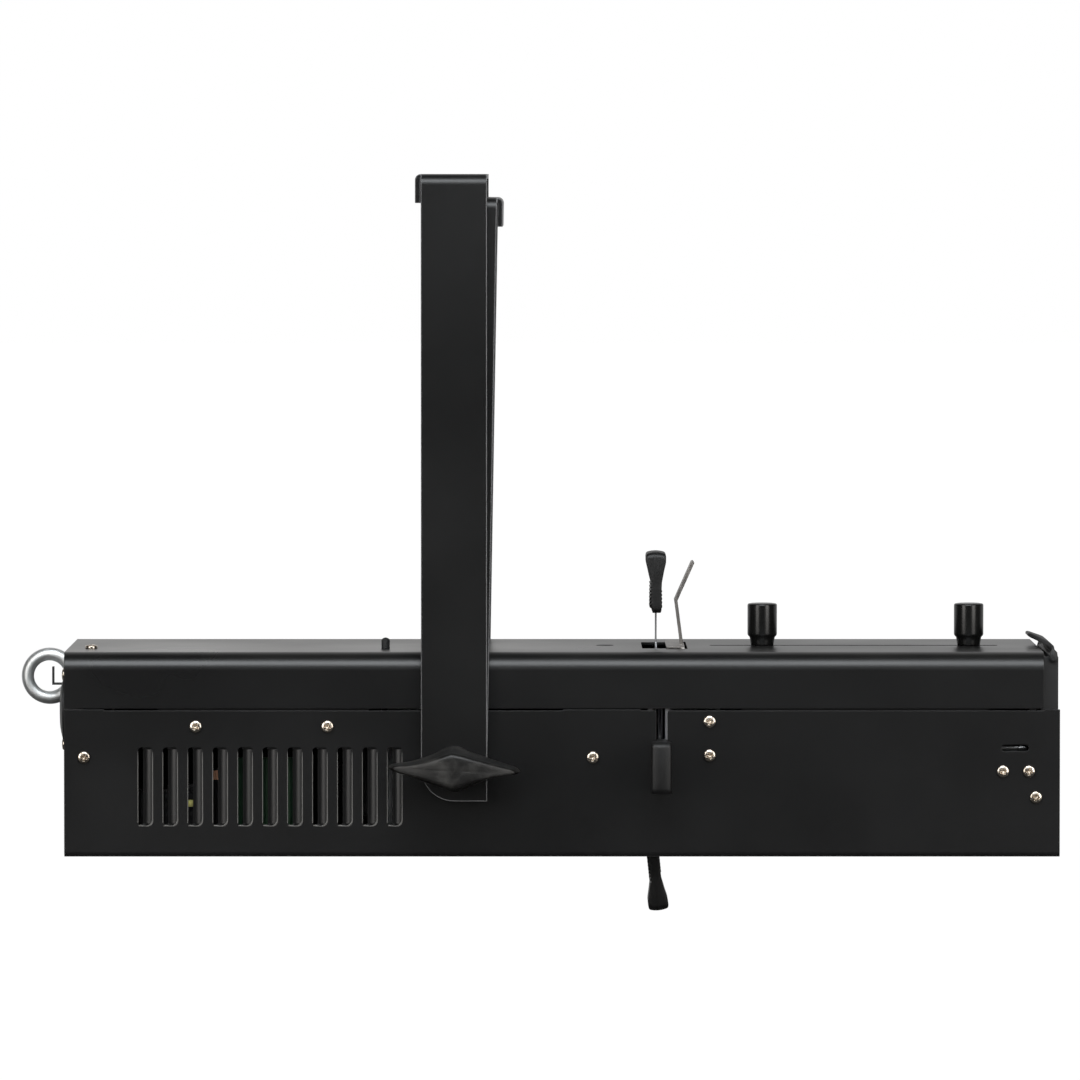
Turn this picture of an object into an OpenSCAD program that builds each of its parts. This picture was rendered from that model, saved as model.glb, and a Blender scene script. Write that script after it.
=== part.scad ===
// Gobo projector: a long sheet steel housing hung in two nested swing brackets.
// The drawing frame has the tilt axis along Y through X = 0, Z = 0 and the light leaves towards +X.
// hung() drops this frame so that the clamp hole in the outer bracket is the origin.

/* [Housing] */
// Length of the lower shell
body_l = 499; // [480:1:530]
// Distance from the tilt axis back to the rear edge
rear_reach = 195.5; // [190:0.5:205]
// Outside width of the housing
body_w = 136; // [134:1:150]
// Outside height of the housing
body_h = 102.5; // [100:0.5:112]
// Height of the tilt axis above the underside
axis_h = 45; // [43:0.5:48]
// Height of the seam between the two shells above the underside
seam_h = 74.5; // [72:0.5:78]
// Thickness of the shell sheet
sheet = 1.5; // [1.2:0.1:1.8]
// Outside radius of the long upper bends
bend_r = 8.5; // [6:0.5:10]
// Outside radius of the long lower bends
lower_bend_r = 2.5; // [2:0.1:4]
// Distance that the cover stops short of the lower shell at the front
front_step = 8; // [7:0.5:9]
// Depth of the rear panel inside the shells
rear_recess = 7; // [6:0.5:9]
// Height of the optical axis above the underside
optic_h = 46.5; // [46:0.5:49]

/* [Vents] */
// Number of louvres on each side
vent_n = 11; // [8:1:11]
// Distance from one louvre to the next
vent_pitch = 12.5; // [11:0.1:12.6]
// Distance of the first louvre ahead of the rear edge
vent_start = 37; // [34:0.5:40]
// Width of a louvre opening
vent_w = 7.4; // [6:0.1:8]
// Height of a louvre opening
vent_h = 39.5; // [30:0.5:42]
// Height of the louvre openings above the underside
vent_z = 15.5; // [12:0.5:18]
// Corner radius of a louvre opening
vent_r = 2; // [1:0.1:2.6]
// Radius that the louvre fins are rolled to
fin_r = 6.2; // [5.5:0.1:7]
// Thickness of a louvre fin
fin_t = 1.2; // [0.8:0.1:1.4]
// Angle that a louvre fin is rolled through
fin_sweep = 52; // [35:1:60]

/* [Brackets] */
// Height of the outer bracket above the tilt axis
outer_rise = 297; // [292:0.5:320]
// Height of the inner bracket above the tilt axis
inner_rise = 285.5; // [283:0.5:288]
// Width of the bracket arms
arm_w = 33; // [28:0.5:36]
// Thickness of the bracket steel
arm_t = 2.5; // [2:0.1:3]
// Outside radius of the bracket bends
arm_bend_r = 5; // [4:0.1:7]
// Depth of the turned-down lip on each bracket
lip_h = 14.5; // [8:0.5:16]
// Outside radius of the lip bend
lip_r = 3; // [3:0.1:4]
// Distance of the lips in from the ends of the crossbars
lip_inset = 8; // [6:0.5:20]
// Lean of the inner bracket towards the front
lean = 1; // [0.5:0.1:1.2]
// Radius of the clamp bolt hole in each crossbar
clamp_r = 6.5; // [5:0.1:7]

/* [Tilt pivots] */
// Radius of the pivot studs
stud_r = 4; // [3:0.1:5]
// Thickness of the washers against the housing
washer_t = 2.3; // [2.3:0.1:4]
// Radius of those washers
washer_r = 14; // [10:0.5:16]
// Radius of the knob base
knob_base_r = 13.5; // [11:0.5:15]
// Height of the knob base
knob_base_h = 7; // [5:0.5:9]
// Span of the knob wings
wing_l = 67; // [54:1:72]
// Height of the wings at the middle of their foot
wing_h = 24.4; // [18:0.2:26]
// Depth of the wings along the pivot
wing_t = 14; // [10:0.5:18]
// Turn of the wings from level
wing_turn = 2; // [0:1:20]

/* [Shutters] */
// Distance of the first shutter plane ahead of the tilt axis
gate_x = 99.6; // [97:0.1:101]
// Thickness of the separator plates between the shutters
separator_t = 0.45; // [0.3:0.05:0.6]
// Thickness of a shutter blade
blade_t = 0.8; // [0.5:0.1:1]
// Width of a shutter blade
blade_w = 52; // [44:1:54]
// Length of the wide part of a shutter blade
blade_l = 36; // [30:1:38]
// Width of the tang that carries the grip
tang_w = 14; // [10:1:18]
// Distance that the top shutter is drawn out
top_drawn = 16; // [12:0.5:20]
// Bend of the bottom shutter's tang
bottom_bend = 6; // [0:0.5:7]
// Radius of the gate aperture
gate_r = 24; // [20:0.5:25]
// Length of a shutter grip
grip_l = 31; // [26:0.5:34]
// Width of a shutter grip across the blade
grip_w = 26; // [20:0.5:28]
// Thickness of a grip at its waist
grip_waist = 6; // [5:0.1:7]
// Thickness of a grip at its tip
grip_tip = 10; // [8:0.1:12]
// Gap between the grips of the closed shutters and the shells
grip_gap = 1; // [0.5:0.1:2]

/* [Gobo holder] */
// Distance of the gobo slot ahead of the tilt axis
gobo_x = 115; // [115:0.5:117]
// Thickness of the gobo holder plates
holder_t = 2; // [1.4:0.1:2.2]
// Width of the gobo holder
holder_w = 64; // [58:1:64]
// Radius of the opening in the gobo holder
holder_r = 24; // [20:0.5:25]
// Radius of the gobo disc
gobo_r = 26; // [25.5:0.1:27]
// Thickness of the gobo disc
gobo_t = 0.5; // [0.3:0.1:0.6]
// Width of the gobo holder handle
handle_w = 18; // [12:1:26]
// Height of the lower part of the handle
handle_low = 23; // [18:0.5:28]
// Length of the bent upper part of the handle
handle_up = 21; // [14:0.5:24]
// Bend of the upper part of the handle
handle_bend = 24; // [15:1:30]

/* [Lenses] */
// Distance of the rear lens knob ahead of the tilt axis
zoom_x = 156; // [154:0.5:162]
// Distance of the front lens knob ahead of the tilt axis
focus_x = 261; // [255:0.5:262]
// Start of the knob slot ahead of the tilt axis
slot_start = 129; // [127:0.5:131]
// Length of the knob slot
slot_l = 147; // [146:0.5:149]
// Width of the knob slot
slot_w = 6; // [5:0.1:8]
// Radius of the lens cells
cell_r = 38; // [36:0.5:38]
// Radius of the lenses
lens_r = 34; // [30:0.5:34]
// Length of the lens cells along the light
cell_l = 14; // [10:0.5:15]
// Radius of the guide rods
rod_r = 3; // [2.5:0.1:3.5]
// Distance of the guide rods from the optical axis
rod_y = 52; // [50:0.5:52]
// Radius of the lens knobs
lens_knob_r = 6.9; // [6:0.1:8]
// Height of the lens knobs above the cover
lens_knob_h = 21.6; // [18:0.1:26]
// Radius of the neck below each lens knob
neck_r = 5; // [4.5:0.1:5.6]
// Height of that neck
neck_h = 6; // [4:0.1:8]
// Radius of the threaded posts under the lens knobs
post_r = 2; // [1.6:0.1:2.2]

/* [Front] */
// Width of the colour frame slot along the light
frame_slot = 4.8; // [4.6:0.1:5]
// Thickness of the frame holder sheet
holder_sheet = 1.6; // [1.4:0.1:1.6]
// Width of the colour frame that the holder takes
frame_w = 100; // [96:1:104]
// Radius of the light opening
light_r = 39; // [38:0.5:40]
// Thickness of the frame clip
clip_t = 3; // [2:0.1:3]
// Length of the frame clip flap
clip_l = 14.5; // [12:0.5:16]
// Angle at which the frame clip stands open
clip_open = 26; // [20:1:35]

/* [Rear] */
// Radius of the eye bolt ring at the middle of its wire
eye_r = 11.4; // [10.5:0.1:12]
// Radius of the eye bolt wire
eye_wire = 2.8; // [2.4:0.1:3]
// Depth of the eye bolt below the top of the housing
eye_drop = 15.5; // [15:0.5:17]
// Radius of the power inlet flange
inlet_r = 16.5; // [15:0.5:17]
// Radius of the control sockets
socket_r = 11.5; // [10:0.5:12]

/* [Light engine] */
// Side of the fan frame
fan_s = 60; // [50:1:64]
// Depth of the fan frame
fan_t = 15; // [15:0.5:18]
// Number of fan blades
fan_n = 7; // [5:1:9]
// Number of heat sink fins
fins_n = 13; // [9:1:15]
// Width of the heat sink
sink_w = 84; // [70:1:90]
// Height of the heat sink
sink_h = 70; // [60:1:74]
// Length of the heat sink fins
sink_l = 42; // [34:0.5:44]

/* [Screws] */
// Radius of the screw shanks
screw_r = 1.5; // [1.2:0.1:1.7]
// Radius of the pan heads
head_r = 2.9; // [2.4:0.1:3.2]
// Height of the pan heads
head_h = 1.9; // [1.4:0.1:2]
// Length of a screw below its head
screw_l = 6; // [4:0.5:7]

/* [Hidden] */
$fn = 48;

// Running clearance on round pins
run = 0.05;
// Clearance between fixed neighbours
fit = 0.1;
// Clearance between flat faces that slide or swing past each other
pass = 0.2;
// Amount by which cutting shapes run past a face
over = 1;

// Gap that shows between the two shells, and how much wider it is along most of the seam
seam_gap = 0.5;
seam_dip = 0.5;

z_low = -axis_h;
z_top = z_low + body_h;
z_seam = z_low + seam_h;
z_light = z_low + optic_h;
x_rear = -rear_reach;
x_front = x_rear + body_l;
x_cover = x_front - front_step;
half_w = body_w / 2;
in_w = half_w - sheet;
flange_w = in_w - fit;
x_panel = x_rear + rear_recess;
seam_dips = [[x_rear + 20, gate_x - 45], [gate_x - 6, x_front - 7.5]];
x_plate = x_cover - sheet;

washer_out = half_w + washer_t;
inner_face = washer_out + fit;
inner_half = inner_face + arm_t;
outer_face = inner_half + pass;
outer_half = outer_face + arm_t;
knob_face = outer_half + pass;
stud_end = knob_face + knob_base_h + wing_t / 2;
wing_out = knob_face + knob_base_h + wing_t;
wing_steps = 4;
wing_foot = knob_face + knob_base_h - 3;
wing_step = (wing_out - wing_foot) / wing_steps;
boss_in = in_w - 8;
boss_r = 9;

screw_hole = screw_r + run;
screw_x = [x_rear + 10, x_rear + 66, x_rear + 132, x_rear + 265, 128, 128,
    x_front - 28.5, x_front - 15.5, x_front - 12];
screw_z = [5, 20.5, 20.5, 5, 23, 6, -2, -2, -15];

blade_pitch = blade_t + separator_t + 2 * pass;
bottom_plane = gate_x + pass + blade_t / 2;
top_plane = bottom_plane + blade_pitch;
near_plane = bottom_plane + 2 * blade_pitch;
far_plane = bottom_plane + 3 * blade_pitch;
gate_t = 2.5;
gate_out = far_plane + blade_t / 2 + pass;
gate_half_h = 38;
gate_low = z_light - gate_half_h;
gate_high = z_light + gate_half_h;
top_slot = [top_plane - 7.2, top_plane + 5.3];
side_slot = [near_plane - 2.2, far_plane + 1.7];
bottom_slot = [bottom_plane - 2.4, bottom_plane + 2.6];
slot_half = 29;
side_slot_low = 11;
mouth_r = 2;

post_pin_r = 3;
post_places = [for (y = [-1, 1], z = [-1, 1]) [y * 44, z_light + z * 33]];

gobo_gap = 2.5;
guide_in = holder_w / 2 + fit;
guide_t = 4;
handle_t = 1.6;

z_inside = z_top - sheet;
holder_x = x_cover;
slot_x = holder_x + holder_sheet;
lip_x = slot_x + frame_slot;
holder_half = frame_w / 2 + 1;
holder_top = z_top - 3;
holder_floor = z_low + sheet + fit;
lip_w = 8;
clip_axis = [holder_x + 5.5, z_top - 3.5];
clip_rise = 4.9;
clip_back = 1.6;
clip_in = holder_half + holder_sheet + pass;
clip_ear = 1.5;
rivet_r = 1.2;

eye_z = z_top - eye_drop;
eye_neck = 4;
eye_x = x_panel - eye_neck - eye_r - eye_wire;
hook_y = [-14, -8];
hook_z = z_top - 19.3;
hook_reach = 15.9;
hook_h = 9.1;
hook_t = 0.9;
inlet_y = -34;
inlet_z = 27;
socket_z = -22;
socket_y = [-34, -4];
display_y = 30;
display_z = 22;
display_w = 38;
display_h = 16;
button_y = [15, 25, 35, 45];
button_z = 4;
button_r = 3;

eye_shank = 2.5;
inlet_body = 12;
inlet_rise = 11.2;
inlet_stand = 8;
inlet_ear = 22.9;
ear_w = 11;
rear_screw_places = [for (side = [-1, 1]) [inlet_y, inlet_z + side * 17.4]];
board_back = x_panel + 6;

plug_x = 76;
plug_r = 4.5;
stop_x = -35;
stop_y = -28;
stop_r = 1.8;
stop_h = 5.5;

tang_in = grip_l * 0.6;
top_foot = z_top - z_light + grip_gap + top_drawn;
bottom_foot = optic_h + grip_gap;
side_foot = half_w + grip_gap;

fan_x = -52;
sink_x = fan_x + fan_t + 3;
sink_base = 5;
sink_end = sink_x + sink_l + sink_base;
led_t = 3;

// Draws in the drawing frame and hangs the result from the middle of the clamp hole
module hung() translate([0, 0, arm_t / 2 - outer_rise]) children();

// Profile in Y and Z, run along X
module along_x(from, to) translate([from, 0, 0]) rotate([90, 0, 90]) linear_extrude(to - from) children();

// Profile in X and Z, run along Y
module along_y(from, to) translate([0, to, 0]) rotate([90, 0, 0]) linear_extrude(to - from) children();

// Profile in X and Y, run along Z
module along_z(from, to) translate([0, 0, from]) linear_extrude(to - from) children();

module both_sides() for (side = [0, 1]) mirror([0, side, 0]) children();

// Round bar or disc along X, Y or Z
module rod_x(r, from, to, y = 0, z = 0) translate([from, y, z]) rotate([0, 90, 0])
    cylinder(r = r, h = to - from);
module rod_y(r, from, to, x = 0, z = 0) translate([x, to, z]) rotate([90, 0, 0])
    cylinder(r = r, h = to - from);
module rod_z(r, from, to, x = 0, y = 0) translate([x, y, from]) cylinder(r = r, h = to - from);

// Rectangle from corner a to corner b
module box2(a, b) translate(a) square([b[0] - a[0], b[1] - a[1]]);

// Rectangle from corner a to corner b with round corners
module round2(a, b, r) {
    box2([a[0] + r, a[1]], [b[0] - r, b[1]]);
    box2([a[0], a[1] + r], [b[0], b[1] - r]);
    for (x = [a[0] + r, b[0] - r], y = [a[1] + r, b[1] - r]) translate([x, y]) circle(r);
}

// Upright wall with round lower corners, base at zero
module tub2(w, h, r) {
    box2([-w / 2, r], [w / 2, h]);
    box2([-w / 2 + r, 0], [w / 2 - r, r + over]);
    for (side = [-1, 1]) translate([side * (w / 2 - r), r]) circle(r);
}

// Bent sheet channel that opens upwards
module channel2(w, h, r, t) difference() {
    tub2(w, h, r);
    translate([0, t]) tub2(w - 2 * t, h, max(r - t, 0.3));
}

// Pan head screw that points along -Z from its seat at zero, with a cross recess
module screw(l = screw_l) {
    difference() {
        intersection() {
            cylinder(r = head_r, h = head_h);
            translate([0, 0, head_h - 3.4 * head_r]) sphere(r = 3.4 * head_r, $fn = 64);
        }
        for (turn = [0, 90]) rotate([0, 0, turn])
            translate([-head_r * 0.55, -0.35, head_h * 0.45]) cube([head_r * 1.1, 0.7, head_h]);
    }
    translate([0, 0, -l]) cylinder(r = screw_r, h = l);
}

module side_screw_places() both_sides() for (i = [0:len(screw_x) - 1])
    translate([screw_x[i], -half_w, screw_z[i]]) rotate([90, 0, 0]) children();

// Holes for the shanks of the side screws through a flange
module side_screw_holes() side_screw_places() translate([0, 0, -screw_l - over])
    cylinder(r = screw_hole, h = screw_l + 2 * over);

module vent_places() for (i = [0:vent_n - 1])
    translate([x_rear + vent_start + i * vent_pitch, 0]) children();

// Everything that is cut through both side walls of the lower shell
module side_cuts() {
    vent_places() round2([0, z_low + vent_z], [vent_w, z_low + vent_z + vent_h], vent_r);
    for (i = [0:len(screw_x) - 1]) translate([screw_x[i], screw_z[i]]) circle(screw_hole);
    box2([side_slot[0], z_light - side_slot_low], [side_slot[1], z_seam + over]);
    difference() {
        box2([side_slot[0] - mouth_r, z_seam - seam_gap - mouth_r], [side_slot[1] + mouth_r, z_seam + over]);
        for (x = [side_slot[0] - mouth_r, side_slot[1] + mouth_r])
            translate([x, z_seam - seam_gap - mouth_r]) circle(mouth_r);
    }
    for (dip = seam_dips) box2([dip[0], z_seam - seam_gap - seam_dip], [dip[1], z_seam + over]);
    round2([x_front - 29.5, 8], [x_front - 15.5, 11.4], 1.69);
    circle(stud_r + fit);
}

// One rolled louvre fin in plan, on the near wall
module fin2() translate([vent_w, -half_w + fin_r + 0.1]) intersection() {
    difference() {
        circle(fin_r);
        circle(fin_r - fin_t);
    }
    polygon([[0, 0], [2 * fin_r * cos(-90 - fin_sweep), 2 * fin_r * sin(-90 - fin_sweep)],
        [-fin_r, -2.5 * fin_r], [0.6, -2.5 * fin_r]]);
}

module lower_shell() color("#1c1c1e") hung() {
    difference() {
        along_x(x_rear, x_front) translate([0, z_low])
            channel2(body_w, seam_h - seam_gap, lower_bend_r, sheet);
        along_y(-half_w - over, half_w + over) side_cuts();
        along_z(z_low - over, z_low + sheet + over)
            round2([bottom_slot[0], -slot_half], [bottom_slot[1], slot_half], 1.5);
    }
    both_sides() along_z(z_low + vent_z + 1, z_low + vent_z + vent_h - 1) vent_places() fin2();
}

// Cut-outs in the top of the cover
module top_cuts() {
    round2([top_slot[0], -slot_half], [top_slot[1], slot_half], 1.5);
    round2([gobo_x - gobo_gap, -holder_w / 2 - 1], [gobo_x + gobo_gap, holder_w / 2 + 1], 1);
    round2([slot_start, -slot_w / 2], [slot_start + slot_l, slot_w / 2], slot_w / 2 - 0.01);
    translate([plug_x, 0]) circle(plug_r);
    translate([stop_x, stop_y]) circle(stop_r + fit);
    for (p = top_screw_places) translate(p) circle(screw_hole);
}

top_screw_places = [[x_rear + 11.8, -28]];
tab_rear = [x_rear + 47, x_rear + 153];
tab_front = [144, x_front - 36];
tab_t = 1.2;

module top_cover() color("#1c1c1e") hung() difference() {
    union() {
        along_x(x_rear, x_cover) translate([0, z_top]) mirror([0, 1])
            channel2(body_w, body_h - seam_h, bend_r, sheet);
        both_sides() for (tab = [tab_rear, tab_front]) {
            along_x(tab[0], tab[1]) box2([-flange_w, z_seam - 15], [-flange_w + tab_t, z_seam + 6]);
            along_x(tab[0], tab[1]) box2([-in_w - 0.5, z_seam + 1], [-in_w + tab_t, z_seam + 6]);
        }
    }
    along_z(z_top - sheet - over, z_top + over) top_cuts();
    along_y(-half_w - over, half_w + over)
        for (i = [0:len(screw_x) - 1]) translate([screw_x[i], screw_z[i]]) circle(screw_hole);
}

// Section that fits inside the two shells
module inside2() intersection() {
    translate([0, z_low + sheet + fit]) tub2(2 * flange_w, body_h, lower_bend_r);
    translate([0, z_inside - fit]) mirror([0, 1]) tub2(2 * flange_w, body_h, bend_r - sheet);
}

module rear_panel() color("#232325") hung() difference() {
    union() {
        along_x(x_panel, x_panel + sheet) inside2();
        both_sides() along_x(x_panel, x_panel + 12) box2([-flange_w, -8], [-flange_w + sheet, 18]);
        along_x(x_panel, x_panel + 12) box2([-45, z_inside - fit - sheet], [45, z_inside - fit]);
        along_y(hook_y[0], hook_y[1]) {
            box2([x_panel - hook_reach, hook_z], [x_panel + 0.5, hook_z + hook_t]);
            box2([x_panel - hook_reach, hook_z], [x_panel - hook_reach + hook_t, hook_z + hook_h]);
        }
    }
    rod_x(eye_shank + fit, x_panel - over, x_panel + sheet + over, 0, eye_z);
    rod_x(inlet_body, x_panel - over, x_panel + sheet + over, inlet_y, inlet_z);
    for (y = socket_y) rod_x(socket_r - 1, x_panel - over, x_panel + sheet + over, y, socket_z);
    for (y = button_y) rod_x(button_r + pass, x_panel - over, x_panel + sheet + over, y, button_z);
    along_x(x_panel - over, x_panel + sheet + over) display2(2, 1);
    side_screw_holes();
    for (p = top_screw_places) rod_z(screw_hole, z_inside - 5, z_top + over, p[0], p[1]);
    for (p = rear_screw_places) rod_x(screw_hole, x_panel - over, x_panel + sheet + over, p[0], p[1]);
}

module eye_bolt() color("#c8cacc") hung() {
    translate([eye_x, 0, eye_z]) rotate([90, 0, 0]) rotate_extrude($fn = 72)
        translate([eye_r, 0]) circle(eye_wire);
    rod_x(4.5, x_panel - 2.5, x_panel, 0, eye_z);
    rod_x(3.4, x_panel - eye_neck - 1.5, x_panel - 2, 0, eye_z);
    rod_x(eye_shank, x_panel - 2, x_panel + 12, 0, eye_z);
}

module eye_nut() color("#c8cacc") hung() difference() {
    translate([x_panel + sheet, 0, eye_z]) rotate([0, 90, 0]) cylinder(r = 4.6, h = 4, $fn = 6);
    rod_x(eye_shank + run, x_panel, x_panel + 8, 0, eye_z);
}

// Round socket with a domed flange and two screw ears outside the panel and a body inside it
module power_inlet() color("#151516") hung() difference() {
    union() {
        intersection() {
            rod_x(inlet_r, x_panel - inlet_rise, x_panel, inlet_y, inlet_z);
            translate([x_panel - inlet_rise + 60, inlet_y, inlet_z]) sphere(r = 60, $fn = 96);
        }
        along_x(x_panel - inlet_stand, x_panel) round2([inlet_y - ear_w / 2, inlet_z - inlet_ear],
            [inlet_y + ear_w / 2, inlet_z + inlet_ear], ear_w / 2 - 0.01);
        rod_x(inlet_body - fit, x_panel - 0.5, x_panel + 16, inlet_y, inlet_z);
    }
    difference() {
        rod_x(inlet_body - 2.5, x_panel - inlet_rise - over, x_panel + 12, inlet_y, inlet_z);
        for (p = [[-4, -3], [4, -3], [0, 4.5]])
            rod_x(1.6, x_panel + 2, x_panel + 13, inlet_y + p[0], inlet_z + p[1]);
    }
    for (p = rear_screw_places) {
        rod_x(head_r + 0.3, x_panel - inlet_rise - over, x_panel - inlet_stand, p[0], p[1]);
        rod_x(screw_hole, x_panel - inlet_rise, x_panel + over, p[0], p[1]);
    }
}

module control_sockets() color("#303235") hung() for (y = socket_y) difference() {
    union() {
        rod_x(socket_r + 1.5, x_panel - 2, x_panel, y, socket_z);
        rod_x(socket_r - 1 - fit, x_panel - 0.5, x_panel + 17, y, socket_z);
    }
    difference() {
        rod_x(socket_r - 3, x_panel - 3, x_panel + 15, y, socket_z);
        for (turn = [0:120:240])
            rod_x(1.2, x_panel + 5, x_panel + 16, y + 4 * sin(turn), socket_z + 4 * cos(turn));
    }
}

// Outline of the display, drawn in by a rim
module display2(rim, r) round2([display_y - display_w / 2 + rim, display_z - display_h / 2 + rim],
    [display_y + display_w / 2 - rim, display_z + display_h / 2 - rim], r);

module display_window() color("#0c1116") hung() difference() {
    along_x(x_panel - 1.2, x_panel) display2(0, 1.5);
    along_x(x_panel - 1.2 - over, x_panel - 0.8) display2(3, 1);
}

module menu_button(i) color("#101011") hung() {
    rod_x(button_r, x_panel - 2, x_panel + sheet + 1, button_y[i], button_z);
    rod_x(button_r + 1, x_panel + sheet + pass, x_panel + sheet + 1.5, button_y[i], button_z);
}

module control_board() color("#1f5a3a") hung() {
    along_x(board_back, board_back + 1.6) box2([8, -8], [54, 34]);
    for (y = [11, 51], z = [-5, 31]) rod_x(2, x_panel + sheet, board_back + 0.5, y, z);
}

module panel_screws() color("#c4bfb4") hung() {
    for (p = top_screw_places) translate([p[0], p[1], z_top]) screw();
    for (p = rear_screw_places) translate([x_panel - inlet_stand, p[0], p[1]])
        rotate([0, -90, 0]) screw(inlet_stand + 3);
}

module side_screws() color("#c4bfb4") hung() side_screw_places() screw();

module hole_plug() color("#0e0e0f") hung() {
    rod_z(plug_r - fit, z_inside - 2, z_top + 0.1, plug_x, 0);
    rod_z(plug_r + 1, z_inside - 2, z_inside - fit, plug_x, 0);
}

// Turned stop with a rounded head, snapped into the cover behind the brackets
module rubber_stop() color("#101011") hung() translate([stop_x, stop_y, 0]) rotate_extrude() {
    box2([0, z_inside - 2], [stop_r + 1.2, z_inside - fit]);
    box2([0, z_inside - 1], [stop_r, z_top + 1]);
    box2([0, z_top], [stop_r + 0.3, z_top + stop_h - 2]);
    intersection() {
        translate([0, z_top + stop_h - 2.4]) circle(2.4);
        box2([0, z_top + 1], [stop_r + 0.3, z_top + stop_h]);
    }
}

// Bracket arms and crossbar as one bent strip, then the lip along one edge of the crossbar
module bracket(rise, half, lip_side) difference() {
    union() {
        intersection() {
            along_x(-arm_w / 2, arm_w / 2) translate([0, rise]) mirror([0, 1])
                channel2(2 * half, rise + arm_w / 2, arm_bend_r, arm_t);
            along_y(-half - over, half + over) {
                box2([-arm_w / 2 - over, 0], [arm_w / 2 + over, rise + over]);
                box2([0, -arm_w / 2], [arm_w / 2, over]);
                circle(arm_w / 2);
            }
        }
        along_y(-half + lip_inset, half - lip_inset) scale([lip_side, 1]) {
            difference() {
                translate([arm_w / 2, rise - lip_r]) circle(lip_r);
                translate([arm_w / 2, rise - lip_r]) circle(lip_r - arm_t);
                box2([arm_w / 2 - 2 * lip_r, rise - 2 * lip_r], [arm_w / 2 - 0.5, rise + over]);
                box2([arm_w / 2 - 2 * lip_r, rise - 3 * lip_r], [arm_w / 2 + 2 * lip_r, rise - lip_r]);
            }
            box2([arm_w / 2 + lip_r - arm_t, rise - lip_h], [arm_w / 2 + lip_r, rise - lip_r + 0.01]);
        }
    }
    rod_y(stud_r + run, -half - over, half + over);
    rod_z(clamp_r, rise - arm_t - over, rise + over);
}

module outer_bracket() color("#1a1a1c") hung() bracket(outer_rise, outer_half, -1);
module inner_bracket() color("#1a1a1c") hung() rotate([0, lean, 0]) bracket(inner_rise, inner_half, 1);

module pivot_studs() color("#9a9ca0") hung() both_sides() rod_y(stud_r, -stud_end, -boss_in - 1);
module pivot_bosses() color("#8c8e92") hung() both_sides() difference() {
    rod_y(boss_r, -in_w, -boss_in);
    rod_y(stud_r + run, -in_w - over, -boss_in + over);
}
module pivot_washers() color("#101011") hung() both_sides() difference() {
    rod_y(washer_r, -washer_out, -half_w);
    rod_y(stud_r + run, -washer_out - over, -half_w + over);
}

// Upper edge of the wings from tip to tip, as parts of the half span and of the rise
wing_edge = [[-1, 0], [-0.985, 0.09], [-0.93, 0.14], [-0.75, 0.19], [-0.55, 0.31], [-0.38, 0.54],
    [-0.25, 0.79], [-0.15, 0.94], [-0.05, 1], [0.07, 0.97], [0.2, 0.87], [0.45, 0.63], [0.7, 0.39],
    [0.88, 0.23], [0.97, 0.12]];

// Wing outline, the same when turned end for end
module wing2(half, rise) {
    top = [for (p = wing_edge) [p[0] * half, p[1] * rise]];
    polygon(concat(top, [for (p = top) -p]));
}

module wing_knob() difference() {
    union() {
        rod_y(knob_base_r, -knob_face - 3, -knob_face);
        translate([0, -knob_face - 3, 0]) rotate([90, 0, 0])
            cylinder(r1 = knob_base_r - 1, r2 = wing_h / 2 - 4, h = knob_base_h - 2);
        rotate([0, wing_turn, 0]) for (i = [0:wing_steps - 1])
            along_y(-wing_foot - (i + 1) * wing_step - 0.01, -wing_foot - i * wing_step)
                wing2(wing_l / 2 - i * 0.8, wing_h / 2 - i * 1.3);
    }
    rod_y(stud_r + run, -stud_end - 0.5, -knob_face + over);
}

module knob_near() color("#2a2b2d") hung() wing_knob();
module knob_far() color("#2a2b2d") hung() rotate([0, 0, 180]) wing_knob();

board_z = z_low + sheet + 6;
board_x = [x_rear + 26, x_rear + 122];

module driver_board() color("#2c6b3f") hung() {
    along_z(board_z, board_z + 1.6) box2([board_x[0], -56], [board_x[1], 20]);
    for (x = [board_x[0] + 5, board_x[1] - 5], y = [-51, 15])
        rod_z(3, z_low + sheet, board_z, x, y);
    along_y(-46, -44.4) box2([x_rear + 86, board_z + 1.6], [x_rear + 116, board_z + 41]);
}

module board_transformer() color("#d8c23a") hung() {
    along_z(board_z + 1.6, board_z + 24) round2([x_rear + 48, -54], [x_rear + 70, -32], 2);
    along_z(board_z + 24, board_z + 27) round2([x_rear + 51, -51], [x_rear + 67, -35], 2);
}

module board_capacitors() color("#c77a3a") hung() {
    for (p = [[78, -50, 6, 34], [38, -44, 5, 22], [38, -28, 5, 22], [100, -20, 8, 30], [78, -20, 8, 30]])
        rod_z(p[2], board_z + 1.6, board_z + 1.6 + p[3], x_rear + p[0], p[1]);
}

module fan_frame() color("#161617") hung() {
    difference() {
        along_x(fan_x, fan_x + fan_t)
            round2([-fan_s / 2, z_light - fan_s / 2], [fan_s / 2, z_light + fan_s / 2], 3);
        rod_x(fan_s / 2 - 1.5, fan_x - over, fan_x + fan_t + over, 0, z_light);
    }
    rod_x(11, fan_x + fan_t - 2.5, fan_x + fan_t, 0, z_light);
    for (turn = [45:90:315]) translate([0, 0, z_light]) rotate([turn, 0, 0])
        along_x(fan_x + fan_t - 2.5, fan_x + fan_t) box2([9, -1.5], [fan_s / 2, 1.5]);
    rod_x(1.5, fan_x + 3, fan_x + fan_t - 1, 0, z_light);
    difference() {
        along_x(fan_x + fan_t - 2, fan_x + fan_t)
            box2([-8, z_low + sheet], [8, z_light - fan_s / 2 + 1]);
        rod_x(fan_s / 2 - 1.5, fan_x - over, fan_x + fan_t + over, 0, z_light);
    }
}

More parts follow.
